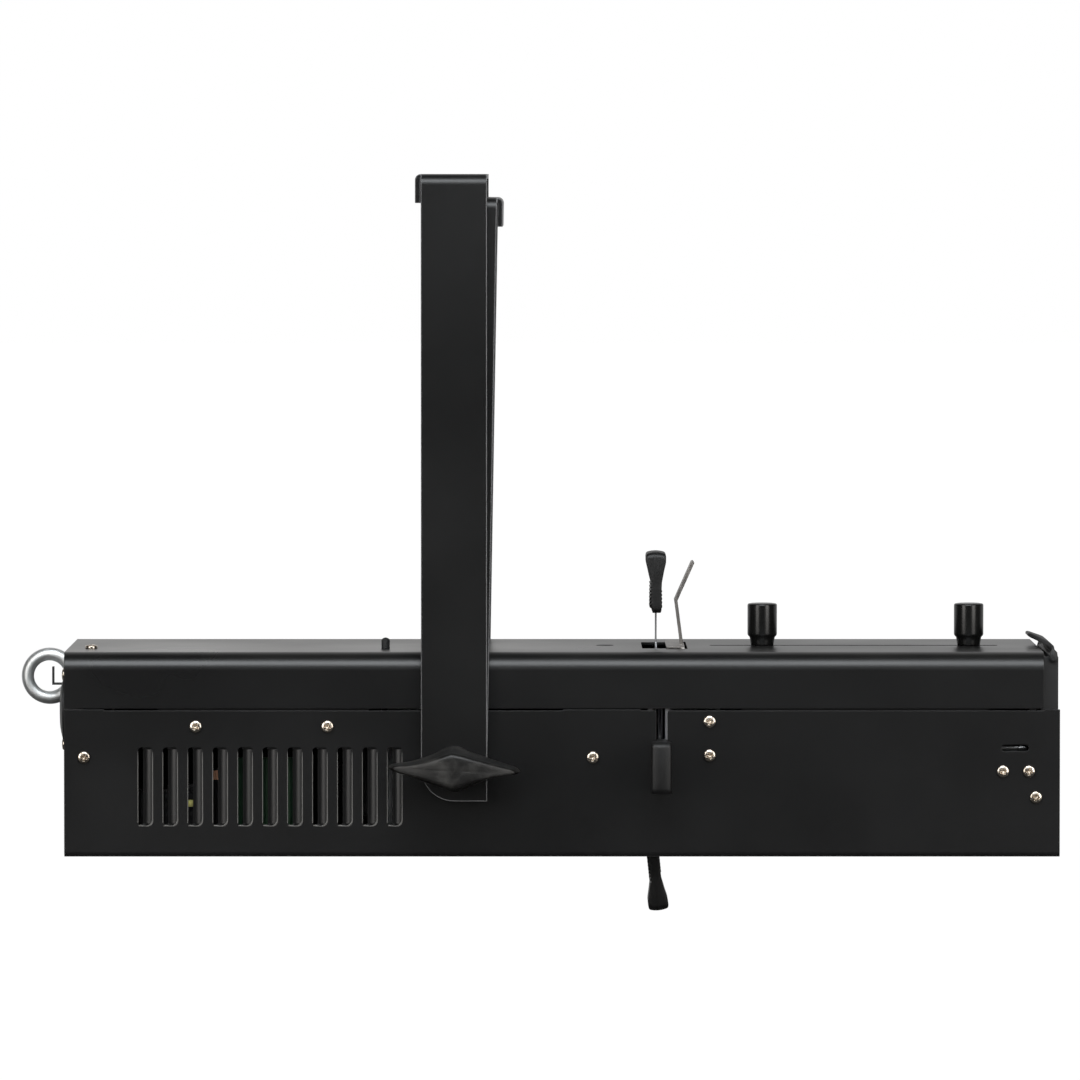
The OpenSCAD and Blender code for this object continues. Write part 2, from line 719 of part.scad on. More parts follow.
module fan_rotor() color("#202022") hung() difference() {
    union() {
        rod_x(10.5, fan_x + 2, fan_x + fan_t - 3.5, 0, z_light);
        translate([0, 0, z_light]) for (i = [0:fan_n - 1]) rotate([i * 360 / fan_n, 0, 0])
            translate([fan_x + 7, 0, 0]) rotate([0, 0, 38]) translate([-0.7, 8, -4])
                cube([1.4, fan_s / 2 - 13, 9]);
    }
    rod_x(1.5 + run, fan_x, fan_x + fan_t, 0, z_light);
}

module heat_sink() color("#9fa2a6") hung() {
    along_x(sink_x + sink_l, sink_end)
        box2([-sink_w / 2, z_light - sink_h / 2], [sink_w / 2, z_light + sink_h / 2]);
    along_x(sink_x, sink_x + sink_l + 0.5) for (i = [0:fins_n - 1])
        translate([-sink_w / 2 + i * (sink_w - 2) / (fins_n - 1), 0])
            box2([0, z_light - sink_h / 2], [2, z_light + sink_h / 2]);
    for (y = [-sink_w / 2 + 4, sink_w / 2 - 4])
        rod_z(3, z_low + sheet, z_light - sink_h / 2 + 0.5, sink_end - 3, y);
}

module led_module() color("#e3d27a") hung() {
    along_x(sink_end, sink_end + led_t - 1) round2([-14, z_light - 14], [14, z_light + 14], 2);
    rod_x(8, sink_end + led_t - 1.5, sink_end + led_t, 0, z_light);
}

// Flared tube that gathers the light of the lamp and carries the condenser lens
module reflector() color("#3a3b3e") hung() translate([sink_end, 0, z_light]) rotate([0, 90, 0])
    rotate_extrude($fn = 72) polygon([[21, 0], [23, 0], [23, 8], [33, 34], [33, gate_x - gate_t - sink_end],
        [31, gate_x - gate_t - sink_end], [31, gate_x - gate_t - sink_end - 12],
        [29, gate_x - gate_t - sink_end - 13], [29, 36], [21, 9]]);

module condenser_lens() color("#dfe8ee", 0.5) hung()
    translate([gate_x - gate_t - 11.5, 0, z_light]) rotate([0, 90, 0]) plano_lens(30.9, 9);

// Lens with a flat back and one domed face
module plano_lens(r, t) {
    ball = (r * r + (t - 2) * (t - 2)) / (2 * (t - 2));
    rotate_extrude($fn = 96) intersection() {
        box2([0, 0], [r, t]);
        translate([0, t - ball]) circle(r = ball, $fn = 240);
    }
}

// Plate across the housing with side flanges that the side screws hold
module bulkhead(from, to, flange_to, z_flange) {
    along_x(from, to) box2([-flange_w + 2, gate_low], [flange_w - 2, gate_high]);
    both_sides() {
        along_x(min(from, flange_to), max(to, flange_to))
            box2([-flange_w, z_flange[0]], [-flange_w + sheet, z_flange[1]]);
        along_x(from, to) box2([-flange_w, z_flange[0]], [-flange_w + 3, z_flange[1]]);
    }
}

module gate_rear() color("#6f7174") hung() difference() {
    bulkhead(gate_x - gate_t, gate_x, screw_x[3] - 7.5, [-6, 16]);
    rod_x(gate_r, gate_x - gate_t - over, gate_x + over, 0, z_light);
    side_screw_holes();
}

module gate_front() color("#6f7174") hung() {
    difference() {
        bulkhead(gate_out, gate_out + gate_t, screw_x[4] + 8, [-2, 28.5]);
        rod_x(gate_r, gate_out - over, gate_out + gate_t + over, 0, z_light);
        side_screw_holes();
    }
    both_sides() difference() {
        along_x(gate_out + gate_t - 0.2, gobo_x + holder_t / 2 + 2.5)
            box2([-guide_in - guide_t, gate_low], [-guide_in + 3, gate_high]);
        along_x(gobo_x - holder_t / 2 - fit, gobo_x + holder_t / 2 + fit)
            box2([-guide_in, gate_low + 3], [-guide_in + 3 + over, gate_high + over]);
    }
}

module gate_posts() color("#a9abaf") hung()
    for (p = post_places) rod_x(post_pin_r, gate_x, gate_out, p[0], p[1]);

// Three thin plates that keep the shutters apart
module gate_separators() color("#b9bcc0") hung() difference() {
    for (i = [1:3]) translate([bottom_plane + (i - 0.5) * blade_pitch - separator_t / 2, 0])
        along_x(0, separator_t) round2([-50, gate_low + 1], [50, gate_high - 1], 3);
    rod_x(gate_r + 1, gate_x, gate_out, 0, z_light);
    for (p = post_places) rod_x(post_pin_r + run, gate_x, gate_out, p[0], p[1]);
}

module guide_rods() color("#c9ccd0") hung()
    for (y = [-rod_y, rod_y]) rod_x(rod_r, gate_out + gate_t, x_plate, y, z_light);

// Blade outline: inner edge, wide part, shoulders and tang
module blade2(inner, reach) polygon([[-blade_w / 2, inner], [blade_w / 2, inner],
    [blade_w / 2, inner + blade_l], [tang_w / 2, inner + blade_l + 6], [tang_w / 2, reach],
    [-tang_w / 2, reach], [-tang_w / 2, inner + blade_l + 6], [-blade_w / 2, inner + blade_l]]);

// Grip profile along the blade: ribbed waist, flared tip, drawn from its foot
module grip2() {
    w = grip_waist / 2;
    difference() {
        polygon([[-w + 1.2, 0], [w - 1, 0], [w, 1.5], [w, 0.5 * grip_l], [grip_tip / 2, 0.84 * grip_l],
            [grip_tip / 2, 0.94 * grip_l], [grip_tip / 2 - 1.5, grip_l], [1.5 - grip_tip / 2, grip_l],
            [-grip_tip / 2, 0.94 * grip_l], [-grip_tip / 2, 0.84 * grip_l], [-w, 0.5 * grip_l], [-w, 2]]);
        for (i = [0:4]) translate([-w - 0.2, (0.1 + 0.08 * i) * grip_l]) circle(r = 0.7, $fn = 16);
    }
}

// Places a shutter: the way out of the gate and its plane along the light
module outwards(turn, plane) translate([plane, 0, z_light]) rotate([turn, 0, 0]) children();

// Bends what lies past the foot of the grip
module bent(foot, bend) translate([0, 0, foot]) rotate([0, bend, 0]) children();

module flat_x(t) translate([-t / 2, 0, 0]) rotate([90, 0, 90]) linear_extrude(t) children();

module blade(turn, plane, inner, foot, bend = 0) color("#b9bcc0") hung() outwards(turn, plane) {
    flat_x(blade_t) blade2(inner, foot);
    bent(foot, bend) flat_x(blade_t) box2([-tang_w / 2, -0.3], [tang_w / 2, tang_in]);
}

module grip(turn, plane, foot, bend = 0) color("#1b1b1c") hung() outwards(turn, plane) bent(foot, bend)
    difference() {
        intersection() {
            translate([0, grip_w / 2, 0]) rotate([90, 0, 0]) linear_extrude(grip_w) grip2();
            flat_x(2 * grip_tip) round2([-grip_w / 2, 0], [grip_w / 2, grip_l], 3);
        }
        flat_x(blade_t) box2([-tang_w / 2, -over], [tang_w / 2, tang_in]);
        for (side = [-1, 1])
            rod_y(1.4, 3 - grip_w / 2, grip_w / 2 - 3, side * grip_tip * 0.22, grip_l + 0.6);
    }

module shutter_blade_top() blade(0, top_plane, top_drawn, top_foot);
module shutter_blade_bottom() blade(180, bottom_plane, 0, bottom_foot, bottom_bend);
module shutter_blade_near() blade(90, near_plane, 0, side_foot);
module shutter_blade_far() blade(-90, far_plane, 0, side_foot);
module shutter_grip_top() grip(0, top_plane, top_foot);
module shutter_grip_bottom() grip(180, bottom_plane, bottom_foot, bottom_bend);
module shutter_grip_near() grip(90, near_plane, side_foot);
module shutter_grip_far() grip(-90, far_plane, side_foot);

// Side view of the bent handle: a leaning lower part and an upper part bent towards the front
module handle2() {
    lean_back = 3;
    tip = [-lean_back + handle_up * sin(handle_bend), handle_low + handle_up * cos(handle_bend)];
    polygon([[0, 0], [handle_t, 0], [handle_t - lean_back, handle_low - 0.3],
        [tip[0] + handle_t, tip[1] - 0.4], [tip[0] + handle_t * 0.6, tip[1] + 0.5], [tip[0], tip[1]],
        [-lean_back, handle_low]]);
}

holder_foot = gate_low + 4;
holder_head = z_top + 1;
gobo_pocket = gobo_t + 0.1;
flap_l = 8.2;

module gobo_holder() color("#8f9196") hung() difference() {
    union() {
        along_x(gobo_x - holder_t / 2, gobo_x + holder_t / 2)
            round2([-holder_w / 2, holder_foot], [holder_w / 2, holder_head], 1);
        translate([gobo_x - handle_t / 2, 0, holder_head - 0.5])
            along_y(-handle_w / 2, handle_w / 2) handle2();
        along_z(z_top + pass, holder_head)
            round2([gobo_x - flap_l, -holder_w / 2], [gobo_x, holder_w / 2], 1);
    }
    rod_x(holder_r, gobo_x - holder_t, gobo_x + holder_t, 0, z_light);
    rod_x(gobo_r + fit, gobo_x - gobo_pocket / 2, gobo_x + gobo_pocket / 2, 0, z_light);
}

// Disc with a ring of plain round holes about a star of slots
module gobo_disc() color("#c2c6ca") hung() difference() {
    rod_x(gobo_r, gobo_x - gobo_t / 2, gobo_x + gobo_t / 2, 0, z_light);
    translate([0, 0, z_light]) for (turn = [0:45:315]) rotate([turn, 0, 0]) {
        rod_x(2.6, gobo_x - over, gobo_x + over, 0, 18);
        along_x(gobo_x - over, gobo_x + over) polygon([[-0.6, 4], [0.6, 4], [2, 12], [-2, 12]]);
    }
}

ear_r = 7;

// Lens ring on two rods, with a boss on top that carries the threaded post
module carriage(x) color("#2b2c2e") hung() difference() {
    union() {
        rod_x(cell_r, x - cell_l / 2, x + cell_l / 2, 0, z_light);
        both_sides() {
            rod_x(ear_r, x - cell_l / 2, x + cell_l / 2, -rod_y, z_light);
            along_x(x - 3, x + 3) box2([-rod_y, z_light - 4], [-cell_r + 3, z_light + 4]);
        }
        along_z(z_light + cell_r - 3, z_inside - 1) box2([x - 5, -7], [x + 5, 7]);
    }
    rod_x(lens_r - 1.5, x - cell_l, x + cell_l, 0, z_light);
    rod_x(lens_r + fit, x - cell_l / 2 + 2, x + cell_l, 0, z_light);
    for (y = [-rod_y, rod_y]) rod_x(rod_r + run, x - cell_l, x + cell_l, y, z_light);
    rod_z(post_r + run, z_light + cell_r - 1, z_top, x, 0);
}

module carriage_lens(x) color("#dfe8ee", 0.5) hung()
    translate([x - cell_l / 2 + 2, 0, z_light]) rotate([0, 90, 0]) plano_lens(lens_r, cell_l - 3);

module post(x) color("#b4b6ba") hung() rod_z(post_r, z_light + cell_r - 1, z_top + lens_knob_h - 6, x, 0);

module lens_knob(x) color("#141415") hung() translate([x, 0, z_top + fit]) difference() {
    rotate_extrude($fn = 72) polygon([[0, 0], [neck_r - 0.3, 0], [neck_r, 0.5], [neck_r + 0.6, neck_h - 1],
        [lens_knob_r - 1, neck_h], [lens_knob_r, neck_h + 1.6], [lens_knob_r, lens_knob_h - 1],
        [lens_knob_r - 0.8, lens_knob_h], [0, lens_knob_h]]);
    translate([0, 0, -over]) cylinder(r = post_r + run, h = lens_knob_h - 5 + over - fit);
}

module zoom_carriage() carriage(zoom_x);
module zoom_lens() carriage_lens(zoom_x);
module zoom_post() post(zoom_x);
module zoom_knob() lens_knob(zoom_x);
module focus_carriage() carriage(focus_x);
module focus_lens() carriage_lens(focus_x);
module focus_post() post(focus_x);
module focus_knob() lens_knob(focus_x);

module front_plate() color("#202022") hung() difference() {
    union() {
        along_x(x_plate, x_cover) inside2();
        both_sides() along_x(x_front - 34, x_cover) box2([-flange_w, -22], [-flange_w + sheet, 7.5]);
    }
    rod_x(light_r, x_plate - over, x_cover + over, 0, z_light);
    side_screw_holes();
}

module holder2() box2([-holder_half - 0.5, holder_floor], [holder_half + 0.5, holder_top]);

// Channel that takes a colour frame from above: back, two sides, floor and front lips
module frame_holder() color("#1b1b1d") hung() difference() {
    union() {
        along_x(holder_x, lip_x + holder_sheet) difference() {
            box2([-holder_half - holder_sheet, holder_floor], [holder_half + holder_sheet, holder_top]);
            box2([-holder_half, holder_floor + holder_sheet], [holder_half, z_top]);
        }
        along_x(holder_x, slot_x) holder2();
        along_x(lip_x, lip_x + holder_sheet) difference() {
            holder2();
            box2([lip_w - holder_half, z_light], [holder_half - lip_w, z_top]);
            translate([0, z_light]) circle(holder_half - lip_w);
        }
    }
    rod_x(light_r, holder_x - over, slot_x + over, 0, z_light);
}

module clip_rivets() color("#9a9ca0") hung() both_sides()
    rod_y(rivet_r, -clip_in - clip_ear - 0.3, -holder_half - holder_sheet, clip_axis[0], clip_axis[1]);

module frame_clip() color("#1b1b1d") hung() translate([clip_axis[0], 0, clip_axis[1]])
    rotate([0, clip_open, 0]) difference() {
        union() {
            along_y(-clip_in - clip_ear, clip_in + clip_ear)
                round2([-clip_l - 2 * clip_back - 0.5, clip_rise - clip_t / 2],
                    [-clip_back, clip_rise + clip_t / 2], clip_t * 0.48);
            both_sides() along_y(-clip_in - clip_ear, -clip_in) {
                circle(2.2);
                polygon([[-2.2, 0], [2.2, 0], [-clip_back - 1.4, clip_rise], [-6, clip_rise]]);
            }
        }
        rod_y(rivet_r + run, -clip_in - clip_ear - over, clip_in + clip_ear + over);
    }

outer_bracket();
inner_bracket();
lower_shell();
top_cover();
rear_panel();
front_plate();
frame_holder();
clip_rivets();
frame_clip();
side_screws();
panel_screws();
eye_bolt();
eye_nut();
power_inlet();
control_sockets();
display_window();
hole_plug();
pivot_studs();
pivot_bosses();
pivot_washers();
knob_near();
knob_far();
driver_board();
board_transformer();
board_capacitors();
control_board();
fan_frame();
fan_rotor();
heat_sink();
led_module();
reflector();
condenser_lens();
gate_rear();
gate_front();
gate_posts();
gate_separators();
guide_rods();
shutter_blade_top();
shutter_blade_bottom();
shutter_blade_near();
shutter_blade_far();
shutter_grip_top();
shutter_grip_bottom();
shutter_grip_near();
shutter_grip_far();
gobo_holder();
gobo_disc();
zoom_carriage();
zoom_lens();
zoom_post();
zoom_knob();
focus_carriage();
focus_lens();
focus_post();
focus_knob();
menu_button(0);  // menu_button_1
menu_button(1);  // menu_button_2
menu_button(2);  // menu_button_3
menu_button(3);  // menu_button_4
rubber_stop();
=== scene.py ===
import math

import bmesh
import bpy
from mathutils import Matrix, Vector


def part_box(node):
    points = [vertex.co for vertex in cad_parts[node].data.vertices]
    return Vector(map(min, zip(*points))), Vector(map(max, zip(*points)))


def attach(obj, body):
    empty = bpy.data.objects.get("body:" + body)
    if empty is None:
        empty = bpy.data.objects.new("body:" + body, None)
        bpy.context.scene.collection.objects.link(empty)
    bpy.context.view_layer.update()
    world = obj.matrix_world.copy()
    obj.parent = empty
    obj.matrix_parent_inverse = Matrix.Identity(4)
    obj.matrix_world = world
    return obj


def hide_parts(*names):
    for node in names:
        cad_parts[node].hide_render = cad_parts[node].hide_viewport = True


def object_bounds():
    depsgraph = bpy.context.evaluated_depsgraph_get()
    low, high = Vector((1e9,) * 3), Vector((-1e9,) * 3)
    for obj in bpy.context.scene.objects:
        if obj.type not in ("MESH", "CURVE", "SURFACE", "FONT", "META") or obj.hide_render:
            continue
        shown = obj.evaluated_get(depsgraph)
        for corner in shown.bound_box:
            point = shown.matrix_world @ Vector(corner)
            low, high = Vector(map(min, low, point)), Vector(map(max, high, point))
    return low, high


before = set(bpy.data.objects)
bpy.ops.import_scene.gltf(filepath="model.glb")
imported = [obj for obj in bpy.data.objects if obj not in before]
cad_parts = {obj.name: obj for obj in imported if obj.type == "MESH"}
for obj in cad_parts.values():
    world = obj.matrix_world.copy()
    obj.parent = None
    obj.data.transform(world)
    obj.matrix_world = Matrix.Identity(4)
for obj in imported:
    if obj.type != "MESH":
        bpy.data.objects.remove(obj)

# The imported materials hold the slots' names, which the finishes below take
for imported in list(bpy.data.materials):
    bpy.data.materials.remove(imported)

cad_box = [list(corner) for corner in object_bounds()]

MM = 0.001
TURN = 2 * math.pi
WHITE = (1, 1, 1, 1)


# Places that are worked out from the frame


def middle(node):
    """The centre of a node's box."""
    low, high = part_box(node)
    return (Vector(low) + Vector(high)) / 2


def corner(node, index):
    """The lowest corner of a node's box for index 0, the highest for index 1."""
    return Vector(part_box(node)[index])


PIVOT = middle("pivot_studs")
NEAR_WALL = corner("lower_shell", 0).y
COVER_TOP = corner("top_cover", 1).z
PANEL = corner("display_window", 1).x
KNOB_FACE = corner("outer_bracket", 1).y + 0.2 * MM


def at(x, y, z):
    """A place in metres, given in millimetres from the tilt axis."""
    return PIVOT + Vector((x, y, z)) * MM


# Node helpers


def add(tree, kind, **settings):
    """A new node with its settings, where a name that isn't a property is a socket's value."""
    node = tree.nodes.new(kind)
    for name, value in settings.items():
        if hasattr(node, name):
            setattr(node, name, value)
        else:
            node.inputs[name.replace("_", " ")].default_value = value
    return node


def place_group(tree, group, **values):
    return add(tree, "ShaderNodeGroup", node_tree=group, **values)


def mixed(tree, share, first, second):
    """The first shader, and the second where share is 1."""
    mix = add(tree, "ShaderNodeMixShader")
    for place, source in enumerate((share, first.outputs[0], second.outputs[0])):
        tree.links.new(source, mix.inputs[place])
    return mix


def blend_colours(tree, mask, first, second):
    """Mixes two colours by a mask socket and returns the colour socket."""
    mix = add(tree, "ShaderNodeMix", data_type="RGBA")
    for name, value in (("A", first), ("B", second)):
        socket = [s for s in mix.inputs if s.name == name and s.type == "RGBA"][0]
        if isinstance(value, tuple):
            socket.default_value = (*value, 1)
        else:
            tree.links.new(value, socket)
    tree.links.new(mask, mix.inputs["Factor"])
    return [s for s in mix.outputs if s.type == "RGBA"][0]


def spread_value(tree, value, low, high, lowest=0.3, highest=0.7, ease="LINEAR"):
    """Maps a value from lowest and highest to low and high, and returns the result socket."""
    reach = add(tree, "ShaderNodeMapRange", interpolation_type=ease, From_Min=lowest,
                From_Max=highest, To_Min=low, To_Max=high)
    tree.links.new(value, reach.inputs["Value"])
    return reach.outputs["Result"]


def bump(tree, shader, height, normal, depth, strength=1.0):
    """Relief of a given depth in metres over a rounded normal."""
    relief = add(tree, "ShaderNodeBump", Strength=strength, Distance=depth)
    tree.links.new(height, relief.inputs["Height"])
    if normal is not None:
        tree.links.new(normal, relief.inputs["Normal"])
    tree.links.new(relief.outputs["Normal"], shader.inputs["Normal"])


# Camera, studio and floor


def place_camera():
    """A long lens almost level with the lamp's flank, a little above it."""
    aim = at(43, NEAR_WALL / MM, 114)
    distance = 4.29
    height = 182.5 * MM
    lens = bpy.data.cameras.new("camera")
    lens.lens = 286
    lens.sensor_width = 36
    lens.sensor_fit = "HORIZONTAL"
    lens.clip_end = 200
    camera = bpy.data.objects.new("camera", lens)
    camera.location = aim + Vector((0, -distance, height))
    camera.rotation_euler = (aim - camera.location).to_track_quat("-Z", "Y").to_euler()
    bpy.context.collection.objects.link(camera)
    bpy.context.scene.camera = camera


def studio_air():
    """White behind the lamp, and dark behind the camera, so that black paint stays black."""
    world = bpy.data.worlds.new("studio")
    world.use_nodes = True
    tree = world.node_tree
    tree.nodes.clear()
    link = tree.links.new
    out = add(tree, "ShaderNodeOutputWorld")
    paths = add(tree, "ShaderNodeLightPath")
    direction = add(tree, "ShaderNodeTexCoord")
    parts = add(tree, "ShaderNodeSeparateXYZ")
    link(direction.outputs["Generated"], parts.inputs[0])
    seen_behind = add(tree, "ShaderNodeMath", operation="MAXIMUM")
    link(paths.outputs["Is Camera Ray"], seen_behind.inputs[0])
    link(paths.outputs["Is Transmission Ray"], seen_behind.inputs[1])
    soft = add(tree, "ShaderNodeBackground", Color=WHITE, Strength=0.20)
    white = add(tree, "ShaderNodeBackground", Color=WHITE)
    mirrored = add(tree, "ShaderNodeBackground", Color=WHITE)
    link(spread_value(tree, parts.outputs["Y"], 0.03, 0.58, 0.2, 0.8, "SMOOTHSTEP"),
         mirrored.inputs["Strength"])
    shine = mixed(tree, paths.outputs["Is Glossy Ray"], soft, mirrored)
    link(mixed(tree, seen_behind.outputs[0], shine, white).outputs[0], out.inputs["Surface"])
    bpy.context.scene.world = world


def studio_floor():
    """A pale floor: white to the camera, with a soft shadow, and dark in front when mirrored."""
    half = 30
    drop = 0.30
    height = cad_box[0][2] - drop
    mesh = bpy.data.meshes.new("floor")
    mesh.from_pydata([(-half, -half, height), (half, -half, height), (half, half, height),
                      (-half, half, height)], [], [(0, 1, 2, 3)])
    floor = bpy.data.objects.new("floor", mesh)
    bpy.context.collection.objects.link(floor)
    material = bpy.data.materials.new("pale_floor")
    material.use_nodes = True
    tree = material.node_tree
    tree.nodes.clear()
    link = tree.links.new
    out = add(tree, "ShaderNodeOutputMaterial")
    paths = add(tree, "ShaderNodeLightPath")
    matt = add(tree, "ShaderNodeBsdfDiffuse", Color=(0.86, 0.86, 0.86, 1))
    glow = add(tree, "ShaderNodeEmission", Strength=1.06)
    mirrored = add(tree, "ShaderNodeEmission")
    share = add(tree, "ShaderNodeMath", operation="MULTIPLY")
    share.inputs[1].default_value = 0.95
    link(paths.outputs["Is Camera Ray"], share.inputs[0])
    spot = add(tree, "ShaderNodeNewGeometry")
    parts = add(tree, "ShaderNodeSeparateXYZ")
    link(spot.outputs["Position"], parts.inputs[0])
    link(spread_value(tree, parts.outputs["Y"], 0.05, 0.6, 0.0, 2.0), mirrored.inputs["Strength"])
    pale = mixed(tree, share.outputs[0], matt, glow)
    link(mixed(tree, paths.outputs["Is Glossy Ray"], pale, mirrored).outputs[0],
         out.inputs["Surface"])
    mesh.materials.append(material)


def softbox(name, azimuth, elevation, width, height, watts, tint, reach):
    """An even rectangular lamp that looks at the middle of the housing, angles in degrees."""
    aim = at(52, 0, 0)
    lamp = bpy.data.lights.new(name, "AREA")
    lamp.shape = "RECTANGLE"
    lamp.size = width
    lamp.size_y = height
    lamp.energy = watts
    lamp.color = tint
    away = Matrix.Rotation(math.radians(azimuth), 3, "Z") @ Vector(
        (0, -math.cos(math.radians(elevation)), math.sin(math.radians(elevation))))
    holder = bpy.data.objects.new(name, lamp)
    holder.location = aim + away * reach
    holder.rotation_euler = (-away).to_track_quat("-Z", "Y").to_euler()
    bpy.context.collection.objects.link(holder)


def studio_lamps():
    """A tall box on each side, two over the front, and a small one behind the rear end."""
    cool = (0.93, 0.97, 1.0)
    warm = (1.0, 0.97, 0.94)
    softbox("left_box", -38, 12, 1.0, 1.5, 17, warm, 2.4)
    softbox("right_box", 40, 12, 1.0, 1.5, 17, warm, 2.4)
    softbox("high_box", 0, 42, 1.5, 1.2, 35, cool, 2.4)
    softbox("broad_box", 0, 42, 1.8, 2.7, 10, cool, 2.4)
    softbox("back_left_box", -163, 12, 0.95, 0.35, 0.30, warm, 1.6)


# Shader groups: each puts out masks, values or normals that change over a surface


def shader_group(name, inputs, outputs):
    """An empty group with named float inputs and outputs of the given kinds."""
    group = bpy.data.node_groups.new(name, "ShaderNodeTree")
    for label, value in inputs:
        socket = group.interface.new_socket(label, in_out="INPUT", socket_type="NodeSocketFloat")
        socket.default_value = value
    for label, kind in outputs:
        group.interface.new_socket(label, in_out="OUTPUT", socket_type=kind)
    return group, group.nodes.new("NodeGroupInput"), group.nodes.new("NodeGroupOutput")


def object_noise(tree, detail=2.0, stretch=(1, 1, 1)):
    """Noise on Object coordinates, with its Mapping, both already joined."""
    place = add(tree, "ShaderNodeTexCoord")
    turn = add(tree, "ShaderNodeMapping")
    turn.inputs["Scale"].default_value = stretch
    noise = add(tree, "ShaderNodeTexNoise", Detail=detail)
    tree.links.new(place.outputs["Object"], turn.inputs["Vector"])
    tree.links.new(turn.outputs["Vector"], noise.inputs["Vector"])
    return noise


def coat_grain_group():
    """Powder coat: fine grain over a broad orange peel, and a slow drift of the sheen."""
    group, given, out = shader_group(
        "coat_grain", (("Grain size", 2400.0), ("Peel size", 420.0), ("Peel share", 0.35)),
        (("Height", "NodeSocketFloat"), ("Drift", "NodeSocketFloat")))
    fine = object_noise(group, 3.0)
    peel = object_noise(group, 1.0)
    slow = object_noise(group, 4.0)
    slow.inputs["Scale"].default_value = 9.0
    mix = add(group, "ShaderNodeMix")
    link = group.links.new
    link(given.outputs["Grain size"], fine.inputs["Scale"])
    link(given.outputs["Peel size"], peel.inputs["Scale"])
    link(given.outputs["Peel share"], mix.inputs["Factor"])
    link(fine.outputs["Fac"], mix.inputs["A"])
    link(peel.outputs["Fac"], mix.inputs["B"])
    link(mix.outputs["Result"], out.inputs["Height"])
    link(slow.outputs["Fac"], out.inputs["Drift"])
    return group


def soft_edge_group():
    """A normal that is rounded over sharp edges, and a mask of where it turns."""
    group, given, out = shader_group(
        "soft_edge", (("Radius", 0.0005), ("Gain", 6.0)),
        (("Normal", "NodeSocketVector"), ("Edge", "NodeSocketFloat")))
    bevel = add(group, "ShaderNodeBevel", samples=4)
    flat = add(group, "ShaderNodeNewGeometry")
    match = add(group, "ShaderNodeVectorMath", operation="DOT_PRODUCT")
    turned = add(group, "ShaderNodeMath", operation="SUBTRACT", use_clamp=True)
    turned.inputs[0].default_value = 1.0
    gain = add(group, "ShaderNodeMath", operation="MULTIPLY", use_clamp=True)
    link = group.links.new
    link(given.outputs["Radius"], bevel.inputs["Radius"])
    link(bevel.outputs["Normal"], match.inputs[0])
    link(flat.outputs["Normal"], match.inputs[1])
    link(match.outputs["Value"], turned.inputs[1])
    link(turned.outputs[0], gain.inputs[0])
    link(given.outputs["Gain"], gain.inputs[1])
    link(bevel.outputs["Normal"], out.inputs["Normal"])
    link(gain.outputs[0], out.inputs["Edge"])
    return group


def settled_dust_group():
    """Where fine dust lies: on faces that look up, in uneven patches."""
    group, given, out = shader_group(
        "settled_dust", (("Amount", 0.2), ("Patch size", 26.0)), (("Mask", "NodeSocketFloat"),))
    flat = add(group, "ShaderNodeNewGeometry")
    parts = add(group, "ShaderNodeSeparateXYZ")
    patches = object_noise(group, 6.0)
    both = add(group, "ShaderNodeMath", operation="MULTIPLY")
    scaled = add(group, "ShaderNodeMath", operation="MULTIPLY", use_clamp=True)
    link = group.links.new
    link(flat.outputs["Normal"], parts.inputs[0])
    link(given.outputs["Patch size"], patches.inputs["Scale"])
    link(spread_value(group, parts.outputs["Z"], 0.0, 1.0, 0.3, 1.0, "SMOOTHSTEP"), both.inputs[0])
    link(spread_value(group, patches.outputs["Fac"], 0.0, 1.0, 0.35, 0.7), both.inputs[1])
    link(both.outputs[0], scaled.inputs[0])
    link(given.outputs["Amount"], scaled.inputs[1])
    link(scaled.outputs[0], out.inputs["Mask"])
    return group


def drawn_lines_group(name, stretch):
    """Fine lines left by rolling, drawing or turning, along one axis."""
    group, given, out = shader_group(
        name, (("Line size", 900.0),), (("Lines", "NodeSocketFloat"), ("Cloud", "NodeSocketFloat")))
    lines = object_noise(group, 2.0, stretch)
    cloud = object_noise(group, 3.0)
    cloud.inputs["Scale"].default_value = 60.0
    group.links.new(given.outputs["Line size"], lines.inputs["Scale"])
    group.links.new(lines.outputs["Fac"], out.inputs["Lines"])
    group.links.new(cloud.outputs["Fac"], out.inputs["Cloud"])
    return group


def spot_group():
    """A mask that is 1 inside a box, given by its centre and its reach each way."""
    sizes = [("Middle " + axis, 0.0) for axis in "XYZ"]
    sizes += [("Reach " + axis, 0.01) for axis in "XYZ"]
    group, given, out = shader_group("spot", sizes, (("Mask", "NodeSocketFloat"),))
    place = add(group, "ShaderNodeTexCoord")
    parts = add(group, "ShaderNodeSeparateXYZ")
    group.links.new(place.outputs["Object"], parts.inputs[0])
    mask = None
    for axis in "XYZ":
        near = add(group, "ShaderNodeMath", operation="COMPARE")
        group.links.new(parts.outputs[axis], near.inputs[0])
        group.links.new(given.outputs["Middle " + axis], near.inputs[1])
        group.links.new(given.outputs["Reach " + axis], near.inputs[2])
        if mask is None:
            mask = near.outputs[0]
            continue
        both = add(group, "ShaderNodeMath", operation="MULTIPLY")
        group.links.new(mask, both.inputs[0])
        group.links.new(near.outputs[0], both.inputs[1])
        mask = both.outputs[0]
    group.links.new(mask, out.inputs["Mask"])
    return group


